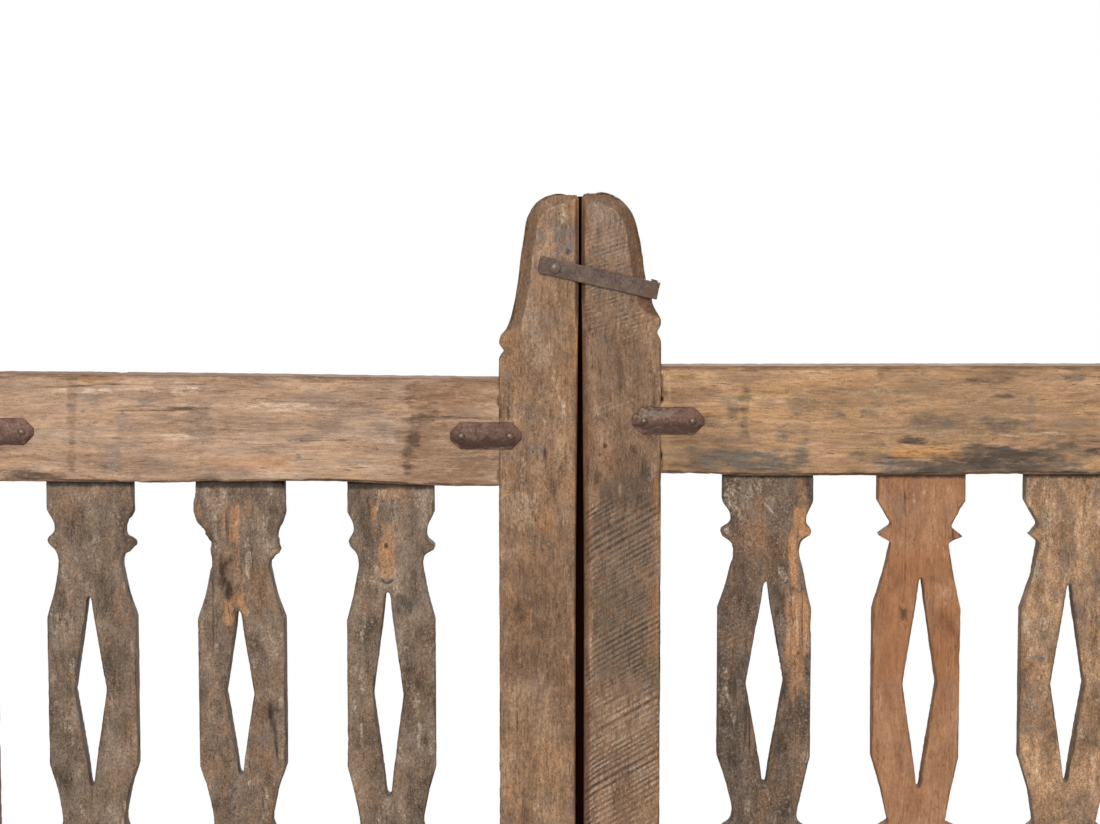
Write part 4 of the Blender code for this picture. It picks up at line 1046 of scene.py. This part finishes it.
rightTopRail = {
    "node": "right_top_rail", "body": "right_leaf", **railWood, "voxel": 0.0015, "keep": 0.72, "smooth": 4,
    "seed": 67, "ridge": 0.50, "edgeWear": 2.4, "bump": 0.0007, "scuffEverywhere": 0.30,
    "scuffKind": "longScuff", "weatherEverywhere": 0.2, "strip": "grime", **railGold,
    "hewn": {"rise": ((665, 2.5), (1030, 3.2)),
             "drop": ((665, 1.4), (700, 3.2), (760, 4.0), (845, 3.7), (990, 2.4), (1030, 1.9))},
    "marks": [
        ("stain", (741, 384, 752, 399), (4, 5), 0.40, 0.3),
        ("weather", (725, 400, 742, 426), (5, 7), 0.60, 0.2),
        ("stain", (740, 402, 749, 437), (3, 7), 0.50, 0.3),
        ("weather", (787, 400, 847, 419), (12, 5), 0.55, 0.2),
        ("weather", (851, 436, 888, 458), (9, 7), 0.45, 0.2),
        ("weather", (908, 414, 956, 448), (11, 9), 0.55, 0.2),
        ("weather", (688, 450, 817, 474), (18, 6), 0.80, 0.4),
        ("cool", (700, 450, 762, 466), (14, 5), 0.45, 0.0),
        ("weather", (872, 457, 1075, 476), (20, 5), 1.0, 0.5),
        ("weather", (955, 444, 1075, 476), (16, 6), 0.95, 0.5),
        ("stain", (925, 452, 990, 468), (12, 5), 0.55, 0.4),
        ("stain", (972, 447, 1050, 470), (14, 6), 0.60, 0.5),
        ("bare", (893, 447, 962, 456), (9, 3), 0.75, 0.0), ("bare", (957, 444), (5, 4), 0.8, 0.0),
        ("weather", (983, 416, 1020, 432), (11, 5), 0.65, 0.2),
        ("stain", (956, 376, 1020, 386), (10, 3), 0.42, 0.4),
        ("stain", (992, 394, 1014, 398), (6, 2), 0.55, 0.4),
        ("stain", (697, 414, 722, 434), (8, 7), 0.45, 0.2),
        # the thin pale line at the rail's end is a painted highlight on the lit edge of its shoulder
        ("grime", (666, 372, 700, 474), (9, 10), 0.42, 0.0), ("scuff", (668, 374, 670, 402), 2.0, 0.5, 0.0),
        ("stain", (820, 430, 905, 428), 1.1, 0.5, 0.5),
        ("weather", (780, 425, 812, 440), (10, 5), 0.40, 0.1),
        ("chew", (704, 471), (22, 5), 0.0, 1.6), ("chew", (676, 470), (9, 4), 0.0, 1.2),
        ("chew", (860, 470), (12, 3), 0.0, 1.0),
    ],
}
makeWood("rightTopRailWood", rightTopRail)

leftBottomRail = {
    "node": "left_bottom_rail", "body": "left_leaf", **railWood, "voxel": 0.0025, "smooth": 3, "seed": 71,
    "ridge": 0.55, "edgeWear": 2.8, "bump": 0.0006, "scuffEverywhere": 0.5, "weatherEverywhere": 0.8,
    "bareEverywhere": 0.5, "strip": "grime", **railTan,
}
makeWood("leftBottomRailWood", leftBottomRail)

rightBottomRail = {
    "node": "right_bottom_rail", "body": "right_leaf", **railWood, "voxel": 0.0025, "smooth": 3, "seed": 79,
    "ridge": 0.55, "edgeWear": 2.8, "bump": 0.0006, "scuffEverywhere": 0.4, "weatherEverywhere": 0.8,
    "bareEverywhere": 0.5, "strip": "weather", **railGold,
}
makeWood("rightBottomRailWood", rightBottomRail)

# the strip's front is painted near black, as the shade inside the gap between the meeting stiles
closingStrip = {
    "node": "right_closing_strip", "body": "right_leaf", **stileWood, "voxel": 0.0020, "smooth": 3,
    "seed": 83, "ridge": 0.35, "edgeWear": 1.4, "bump": 0.0006, "weatherEverywhere": 0.6,
    "darkFront": (0.2, 0.6), **stileDark, "stain": (36, 17, 9), "stainShare": 1.0, "ragged": 0.2,
    "shine": 0.03, "taller": 0.0055,
}
makeWood("closingStripWood", closingStrip)

balusters = {
    "left_baluster_outer": {
        "slotReach": 0.0070, "nubDrop": (0.003, 0.0048),
        "marks": [
            ("bare", (70, 487, 106, 500), (8, 5), 0.28, 0.0),
            ("bare", (113, 586, 124, 620), (4, 9), 0.36, 0.3),
            ("stain", (108, 530, 128, 560), (7, 9), 0.35, 0.1), ("chew", (133, 535), (8, 6), 0.0, -4.2),
            ("chew", (133, 550), (7, 6), 0.0, -3.4), ("chew", (137, 507), (8, 17), 0.0, -2.6),
            ("chew", (136, 482), (6, 9), 0.0, 2.6),
        ],
    },
    "left_baluster_middle": {
        "slotReach": 0.0065, "nubDrop": (0.002, 0.0055),
        "marks": [
            ("bare", (229, 503, 239, 543), (3, 7), 0.75, 0.4),
            ("stain", (226, 508, 228, 548), 2.5, 0.6, 0.6),
            ("stain", (225, 573), (9, 18), 0.90, 2.4), ("clear", (229, 573), (6, 11), 0.95, -1.6),
            ("grime", (222, 555, 236, 598), (5, 6), 0.60, 0.2), ("stain", (229, 592), (4, 8), 0.80, 1.6),
            ("bare", (232, 590, 246, 614), (4, 7), 0.80, 0.4),
            ("bare", (223, 602, 233, 625), (3, 7), 0.75, 0.3),
            ("bare", (230, 545, 240, 590), (3, 9), 0.40, 0.1), ("chew", (201, 541), (9, 6), 0.0, 5.5),
            ("chew", (208, 562), (5, 8), 0.0, 1.8), ("chew", (202, 531), (5, 4), 0.0, 2.0),
            ("bare", (195, 498, 200, 518), (2, 5), 0.50, 0.0), ("chew", (196, 509), (8, 18), 0.0, -2.8),
            ("chew", (288, 482), (6, 10), 0.0, 3.2), ("chew", (285, 512), (8, 16), 0.0, -2.2),
            ("chew", (278, 538), (8, 7), 0.0, -3.4),
            ("chew", (278, 555), (7, 7), 0.0, -3.0),
        ],
    },
    "left_baluster_inner": {
        "slotReach": 0.0085, "nubDrop": (0.0045, 0.0045),
        "marks": [
            ("bare", (375, 482, 405, 502), (6, 6), 0.50, 0.0),
            ("scuff", (378, 482, 402, 498), (6, 5), 0.35, 0.0),
            ("bare", (370, 503, 378, 526), (3, 8), 0.60, 0.2),
            ("bare", (381, 524, 392, 545), (3, 7), 0.60, 0.2),
            ("bare", (379, 536, 394, 578), (2.5, 3), 0.72, 0.6), ("stain", (386, 546), (2.5, 3), 0.9, 1.0),
            ("stain", (381, 579, 387, 586), 1.7, 0.8, 0.8), ("stain", (387, 586, 394, 579), 1.7, 0.8, 0.8),
            ("weather", (392, 592, 414, 616), (5, 6), 0.75, 0.2),
            ("stain", (395, 596, 410, 612), (6, 6), 0.45, 0.2),
            ("cool", (383, 500, 400, 522), (6, 8), 0.45, 0.0),
            ("grime", (395, 545, 425, 580), (10, 10), 0.35, 0.0),
        ],
    },
    "right_baluster_inner": {
        "slotReach": 0.0080, "nubDrop": (0.0036, 0.0), "shade": (0.85, 0.83, 0.82),
        "marks": [
            ("scuff", (722, 480, 746, 522), (10, 12), 0.36, 0.0),
            ("scuff", (764, 502, 774, 514), 1.8, 0.6, 0.3),
            ("bare", (754, 496, 768, 560), (6, 12), 0.30, 0.0),
            ("bare", (793, 508, 808, 541), (3, 7), 0.90, 0.7),
            ("bare", (803, 519, 816, 539), (3, 4), 0.90, 0.5),
            ("bare", (789, 536, 799, 588), (2.5, 6), 0.95, 0.9),
            ("bare", (786, 593, 813, 655), (3, 8), 0.90, 0.6),
            ("bare", (790, 650, 806, 695), (4, 14), 0.65, 0.4),
            ("scuff", (797, 598, 797, 645), 1.5, 0.5, 0.0),
            ("bare", (797, 477, 806, 510), (4, 9), 0.45, 0.1),
            ("stain", (775, 586, 790, 612), (6, 8), 0.45, 0.1), ("chew", (820, 476), (6, 5), 0.0, 2.6),
            ("grime", (730, 555, 765, 600), (10, 12), 0.40, 0.0),
        ],
    },
    "right_baluster_middle": {
        "slotReach": 0.0060, "nubDrop": (0.0, 0.0005), **redTan, "slot": "red_wood", "bareEverywhere": 0.0,
        "weatherEverywhere": 0.1, "checks": 0.25, "saw": (),
        "marks": [
            ("stain", (905, 478, 906, 540), 1.1, 0.65, 1.0),
            ("stain", (906, 535, 904, 604), 1.0, 0.55, 0.8),
            ("stain", (899, 607, 909, 622), (3, 4), 0.75, 0.6),
            ("weather", (893, 492, 920, 524), (9, 9), 0.50, 0.1),
            ("stain", (953, 528, 953, 541), 1.5, 0.8, 1.4),
            ("grime", (928, 562, 948, 584), (7, 8), 0.50, 0.1),
            ("scuff", (930, 580, 956, 606), (9, 9), 0.35, 0.0),
            ("grime", (885, 560, 905, 600), (8, 12), 0.35, 0.0),
            ("grime", (930, 610, 960, 640), (10, 9), 0.40, 0.0),
            ("bare", (872, 545, 964, 680), (14, 16), 0.62, 0.0),
        ],
    },
    "right_baluster_outer": {
        "slotReach": 0.0060, "nubDrop": (0.0, 0.002), "shade": (1.42, 1.33, 1.20),
        "marks": [
            ("scuff", (1022, 478, 1034, 505), (6, 9), 0.45, 0.0),
        ],
    },
}
balusterLook = {
    "stub": 0.0223, "shade": (1.0, 1.0, 1.0), "slot": "grey_wood", "grain": 2, "voxel": 0.0014,
    "keep": 0.75, "smooth": 2, "ridge": 0.45, "edgeWear": 1.6, "bump": 0.0010, "weatherEverywhere": 0.30,
    "bareEverywhere": 0.35, "scuffEverywhere": 0.35, "edgeBare": 0.30, **paleGrey,
    "saw": [
        {"angle": 8.0, "spacingMm": 4.6, "from": 0.17, "to": 0.66,
         "depthMm": 0.12, "tint": 0.10, "thin": 2},
    ],
}

for count, (nodeName, ownLook) in enumerate(balusters.items()):
    side, _, place = nodeName.split("_")
    low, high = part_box(nodeName)
    look = dict(balusterLook, node=nodeName, body=side + "_leaf", seed=101 + 7 * count)
    look.update(ownLook, shoulderZ=(low[2] + look["stub"], high[2] - look["stub"]))
    look["tones"] = [[c * s for c, s in zip(colour, look["shade"])] for colour in look["tones"]]
    makeWood(side + "Baluster" + place.capitalize() + "Wood", look)
print("gate: wood done")


# forged iron: brown skin with rust and darker hollows, rubbed brighter where hands and weather reach, with
# painted shade on faces turned down or sideways and painted glints on nail heads
ironBase = {
    "dark": (54, 37, 29), "low": (76, 58, 48), "main": (94, 75, 63), "pale": (116, 95, 82),
    "rust": (102, 64, 47), "worn": (138, 124, 106), "edgeWorn": 0.12, "under": 0.0, "sides": 0.0, "marks": (),
    "bright": (),
}
tieTones = {"dark": (56, 33, 24), "low": (84, 58, 47), "main": (106, 78, 64), "pale": (132, 103, 86)}
# noise in the iron's colour: scale, detail and roughness
ironFields = {"patches": (70.0, 7.0, 0.62), "scale": (360.0, 5.0, 0.7), "pits": (800.0, 3.0, 0.6),
              "rust": (80.0, 5.0, 0.65)}
ironPaint = {
    "seedShift": 0.53, "rustPlace": (3.1, 1.7, 5.9), "stops": (0.34, 0.44, 0.54, 0.66), "patchShare": 0.55,
    "scaleShare": 0.45, "pitShows": (0.42, 0.30), "pitShare": 0.45, "ragged": 0.9, "raggedLevel": -0.45,
    "rustShows": (0.54, 0.70), "rustShare": 0.45, "markShows": (0.15, 0.75), "markShare": 0.85,
    "wornShows": (0.20, 0.80), "wornShare": 0.8, "roughShows": (0.35, 0.65), "roughness": (0.70, 0.46),
    "wornGloss": -0.22, "metal": 0.08, "shine": 0.38, "scaleBump": 0.6, "pitBumpShows": (0.30, 0.46),
    "pitBump": 0.4, "bumpStrength": 0.85, "bump": 0.0007,
}


def gateIron(name, look):
    material, tree, shader = newMaterial(name)
    paint = ironPaint
    objectPlace = addNode(tree, "ShaderNodeTexCoord").outputs["Object"]
    shifted = moved(tree, objectPlace, [paint["seedShift"] * look["seed"]] * 3)
    patches = noiseAt(tree, shifted, *ironFields["patches"])
    scale = noiseAt(tree, shifted, *ironFields["scale"])
    pits = noiseAt(tree, shifted, *ironFields["pits"])
    rustField = noiseAt(tree, moved(tree, shifted, paint["rustPlace"]), *ironFields["rust"])
    blend = plus(tree, times(tree, patches, paint["patchShare"]), times(tree, scale, paint["scaleShare"]))
    colour = toneRamp(tree, blend, paint["stops"], [look[part] for part in ("dark", "low", "main", "pale")])
    pitted = remap(tree, pits, *paint["pitShows"], 0.0, paint["pitShare"])
    colour = blendTone(tree, pitted, colour, tone(*look["dark"]))
    ragged = plus(tree, times(tree, scale, paint["ragged"]), paint["raggedLevel"])
    rustField = remap(tree, rustField, *paint["rustShows"], 0.0, paint["rustShare"])
    amounts = {"rust": plus(tree, rustField, layerValue(tree, "rust")), "dark": layerValue(tree, "dark")}
    for layer, amount in amounts.items():
        share = remap(tree, plus(tree, amount, ragged), *paint["markShows"], 0.0, paint["markShare"])
        colour = blendTone(tree, share, colour, tone(*look[layer]))
    worn = layerValue(tree, "worn")
    share = remap(tree, plus(tree, worn, ragged), *paint["wornShows"], 0.0, paint["wornShare"])
    colour = blendTone(tree, share, colour, tone(*look["worn"]))
    tree.links.new(colour, shader.inputs["Base Color"])
    rough = remap(tree, scale, *paint["roughShows"], *paint["roughness"])
    rough = plus(tree, rough, times(tree, worn, paint["wornGloss"]))
    tree.links.new(rough, shader.inputs["Roughness"])
    shader.inputs["Metallic"].default_value = paint["metal"]
    shader.inputs["Specular IOR Level"].default_value = paint["shine"]
    height = plus(tree, times(tree, scale, paint["scaleBump"]),
                  times(tree, remap(tree, pits, *paint["pitBumpShows"]), paint["pitBump"]))
    bump = addNode(tree, "ShaderNodeBump", {"Height": height, "Strength": paint["bumpStrength"],
                                            "Distance": paint["bump"]})
    tree.links.new(bump.outputs[0], shader.inputs["Normal"])
    return material


hammerLook = {"blows": (8, 8, 8), "dents": (3.2, 3.2, 3.2), "dentShare": 0.5, "wear": (6, 6, 6),
              "worn": (0.4, 0.8), "under": (0.05, 0.6), "sides": (0.25, 0.80), "facing": (0.0, 0.4),
              "marks": (4, 4, 4), "core": 0.3, "domeHalf": 0.0095}


# hammer blows, the marks that the photograph shows, painted glints, painted shade on faces turned down or
# sideways, and plates that are hammered round
def hammerIron(piece, look):
    points, normals = readPoints(piece)
    seed = look["seed"]
    cut = look["hammer"] * mm * softNoise(points, hammerLook["blows"], seed)
    cut += hammerLook["dentShare"] * look["hammer"] * mm * softNoise(points, hammerLook["dents"], seed + 3)
    wear = ramp(softNoise(points, hammerLook["wear"], seed + 7), *hammerLook["worn"])
    # faces turned down and to the sides are painted darker as shade
    dark = look["under"] * ramp(-normals[:, 2], *hammerLook["under"])
    dark += look["sides"] * (1.0 - ramp(np.abs(normals[:, 1]), *hammerLook["sides"]))
    worn = look["edgeWorn"] * sharpEdges(normals) * wear
    layers = {"rust": np.zeros(len(points)), "dark": dark, "worn": worn}
    board = {"layers": layers}
    u, v = photoPlace(points)
    facing = ramp(-normals[:, 1], *hammerLook["facing"])
    rough = layeredNoise(points, hammerLook["marks"], seed + 9, 2)
    for kind, place, size, strength, depthMm in look["marks"]:
        weight = markWeight(place, size, u, v, rough) * facing
        if kind in layers:
            coat(board, kind, strength * weight)
        cut += depthMm * mm * weight
    # bright spots on nail heads and the pin are painted glints on rubbed metal
    for *spot, radius in look["bright"]:
        away = np.linalg.norm(points - np.array(spot), axis=1)
        coat(board, "worn", 1.0 - ramp(away, hammerLook["core"] * radius, radius))
    points = points - normals * cut[:, None]
    if "dome" in look:
        fromMiddle = points[:, 2] - 0.5 * (points[:, 2].min() + points[:, 2].max())
        fall = np.clip(np.abs(fromMiddle) / hammerLook["domeHalf"], 0.0, 1.0) ** 2
        points[:, 1] += look["dome"] * mm * fall * facing
    writePoints(piece, points)
    writeLayers(piece, layers)


def makeIron(pieceName, ownLook):
    look = dict(ironBase, **ownLook)
    piece = startPiece(pieceName, look)
    hammerIron(piece, look)
    finishPiece(piece, look, gateIron(pieceName + "Finish", look))


latchBar = {
    "node": "latch_bar", "body": "latch", "slot": "forged_iron", "voxel": 0.0009, "smooth": 4, "seed": 7,
    "hammer": 0.7, "under": 0.5, "sides": 0.5,
    "marks": [
        ("rust", (653, 291), (9, 9), 0.40, 0.1), ("dark", (653, 291), (9, 9), 0.35, 0.0),
        ("dark", (590, 286, 650, 302), 2.5, 0.6, 0.0),
    ],
}
latchPin = {
    "node": "latch_pin", "body": "left_leaf", "slot": "nail_iron", "voxel": 0.0006, "smooth": 3, "seed": 9,
    "hammer": 0.5, "bright": [(-0.0285, -0.0339, 0.8775, 0.0030)],
}
makeIron("latchBarIron", latchBar)
makeIron("latchPinIron", latchPin)

tiePlate = {"slot": "forged_iron", "voxel": 0.0010, "smooth": 3, "hammer": 0.7, "dome": 1.3, "under": 0.6,
            "sides": 0.6, **tieTones}
tieNail = {"slot": "nail_iron", "voxel": 0.0006, "smooth": 2, "hammer": 0.25, "under": 0.3}
nailGleam = {"x": -0.0004, "z": 0.0010, "radius": 0.0024}
hingeEye = {"slot": "forged_iron", "voxel": 0.0012, "smooth": 3, "hammer": 0.4, "under": 0.3}
hingePintle = {"body": "pintles", "slot": "forged_iron", "voxel": 0.0014, "smooth": 2, "hammer": 0.4,
               "under": 0.3}
stripNail = {"body": "right_leaf", "slot": "nail_iron", "voxel": 0.0006, "smooth": 2, "hammer": 0.25}
# the dark marks on the lower parts of the ties are painted shade under their rounded faces
tieMarks = {
    "left_tie_top_inner": [
        ("dark", (452, 438, 522, 450), (10, 4), 0.75, 0.5),
        ("rust", (470, 424, 520, 434), (9, 4), 0.35, -0.5),
        ("dent", (484, 441, 506, 447), (6, 3), 0.0, 0.9), ("dent", (466, 428, 490, 434), (8, 3), 0.0, -0.6),
    ],
    "right_tie_top_inner": [
        ("worn", (636, 409, 676, 421), (10, 5), 0.42, -1.4),
        ("dark", (634, 423, 700, 434), (10, 4), 0.70, 0.6),
        ("rust", (672, 408, 704, 424), (9, 6), 0.38, 0.1), ("dent", (650, 424, 678, 429), (7, 3), 0.0, 1.0),
        ("dark", (650, 424, 680, 430), (8, 3), 0.60, 0.0),
    ],
}


def joined(*words):
    return words[0] + "".join(word.capitalize() for word in words[1:])


def makeTie(side, level, place):
    body = side + "_leaf"
    nodeName = "_".join((side, "tie", level, place))
    seed = 13 + 5 * len(nodeName) + 3 * ("left", "right").index(side) + ("top", "bottom").index(level)
    look = dict(tiePlate, node=nodeName, body=body, seed=seed, marks=tieMarks.get(nodeName, ()))
    makeIron(joined(side, "tie", level, place, "iron"), look)
    for number in ("1", "2"):
        nodeName = "_".join((side, "nail", level, place, number))
        low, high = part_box(nodeName)
        middle = (low + high) / 2
        gleam = (middle[0] + nailGleam["x"], low[1], middle[2] + nailGleam["z"], nailGleam["radius"])
        look = dict(tieNail, node=nodeName, body=body, seed=seed + int(number), bright=[gleam])
        makeIron(joined(side, "nail", level, place, number, "iron"), look)


def makeHinge(side, level):
    seed = 61 + len(side) + 3 * len(level) + ("upper", "lower").index(level)
    eye = dict(hingeEye, node=side + "_eye_" + level, body=side + "_leaf", seed=seed)
    pintle = dict(hingePintle, node=side + "_pintle_" + level, seed=seed + 11)
    makeIron(joined(side, "eye", level, "iron"), eye)
    makeIron(joined(side, "pintle", level, "iron"), pintle)


for side in ("left", "right"):
    for level in ("top", "bottom"):
        for place in ("inner", "outer"):
            makeTie(side, level, place)
    for level in ("upper", "lower"):
        makeHinge(side, level)
for number in (1, 2, 3):
    look = dict(stripNail, node="right_strip_nail_" + str(number), seed=90 + number)
    makeIron("stripNail" + str(number) + "Iron", look)
print("gate: iron done")


# pale floor that runs out to white, with the gate's shadow near its feet
floorLook = {"radius": 4.5, "sides": 96, "height": -0.0006, "tone": (236, 235, 232), "grain": 5,
             "fadeFrom": 0.45, "fadeTo": 1.0, "halfGate": 0.75, "roughness": 0.85, "shine": 0.2,
             "noise": (220.0, 4.0, 0.6), "stops": (0.3, 0.7)}


def makeFloor(look):
    deselectAll()
    bpy.ops.mesh.primitive_circle_add(vertices=look["sides"], radius=look["radius"], fill_type="NGON",
                                      location=(0, 0, look["height"]))
    floor = bpy.context.active_object
    floor.name = "paleFloor"
    bpy.ops.object.transform_apply(location=True, rotation=True, scale=True)
    material, tree, shader = newMaterial("paleFloorFinish")
    place = addNode(tree, "ShaderNodeTexCoord").outputs["Object"]
    parts = addNode(tree, "ShaderNodeSeparateXYZ", {0: place})
    beyond = mathNode(tree, "SUBTRACT", mathNode(tree, "ABSOLUTE", parts.outputs[0]), look["halfGate"])
    beyond = mathNode(tree, "MAXIMUM", beyond)
    spread = plus(tree, times(tree, beyond, beyond), times(tree, parts.outputs[1], parts.outputs[1]))
    away = mathNode(tree, "POWER", spread, 0.5)
    grain = noiseAt(tree, place, *look["noise"])
    tones = ([value - look["grain"] for value in look["tone"]], look["tone"])
    tree.links.new(toneRamp(tree, grain, look["stops"], tones), shader.inputs["Base Color"])
    shader.inputs["Roughness"].default_value = look["roughness"]
    shader.inputs["Specular IOR Level"].default_value = look["shine"]
    share = times(tree, remap(tree, away, look["fadeFrom"], look["fadeTo"]), seenDirectly(tree))
    white = addNode(tree, "ShaderNodeEmission", {"Color": (1, 1, 1, 1), "Strength": 1.0})
    mixed = addNode(tree, "ShaderNodeMixShader", {0: share, 1: shader.outputs[0], 2: white.outputs[0]})
    out = [node for node in tree.nodes if node.type == "OUTPUT_MATERIAL"][0]
    tree.links.new(mixed.outputs[0], out.inputs[0])
    floor.data.materials.append(material)


def makeWorld(ambient):
    world = bpy.data.worlds.new("studioWorld")
    bpy.context.scene.world = world
    world.use_nodes = True
    tree = world.node_tree
    tree.nodes.clear()
    strength = remap(tree, seenDirectly(tree), 0.0, 1.0, ambient, 1.0)
    back = addNode(tree, "ShaderNodeBackground", {"Color": (1, 1, 1, 1), "Strength": strength})
    out = addNode(tree, "ShaderNodeOutputWorld")
    tree.links.new(back.outputs[0], out.inputs[0])


def turnTo(thing, place, aim):
    thing.rotation_euler = (Vector(aim) - Vector(place)).to_track_quat("-Z", "Y").to_euler()


def makeLight(name, look):
    deselectAll()
    bpy.ops.object.light_add(type="AREA", location=look["place"])
    light = bpy.context.active_object
    light.name = name
    light.data.shape = "RECTANGLE"
    light.data.size, light.data.size_y = look["size"]
    light.data.energy = look["power"]
    turnTo(light, look["place"], look["aim"])


def makeCamera(look):
    deselectAll()
    bpy.ops.object.camera_add(location=look["place"])
    camera = bpy.context.active_object
    camera.name = "gateCamera"
    turnTo(camera, look["place"], look["aim"])
    camera.data.sensor_fit = "HORIZONTAL"
    camera.data.sensor_width = look["sensor"]
    camera.data.lens = look["lens"]
    bpy.context.scene.camera = camera


ambientLight = 0.165
softboxes = {
    "frontSoftbox": {"place": (-0.7, -4.4, 2.5), "aim": (0.0, 0.0, 0.55), "size": (2.4, 1.8), "power": 182.0},
    "sideSoftbox": {"place": (2.9, -3.6, 1.7), "aim": (0.1, 0.0, 0.55), "size": (2.2, 2.2), "power": 13.0},
    "topSoftbox": {"place": (0.0, -0.9, 3.3), "aim": (0.0, 0.0, 0.6), "size": (2.6, 1.2), "power": 22.0},
    "backSoftbox": {"place": (0.8, 4.2, 2.4), "aim": (0.0, 0.0, 0.5), "size": (3.0, 2.0), "power": 150.0},
}
makeFloor(floorLook)
makeWorld(ambientLight)
for name, look in softboxes.items():
    makeLight(name, look)
makeCamera(viewpoint)
print("gate: stage, light and camera done")
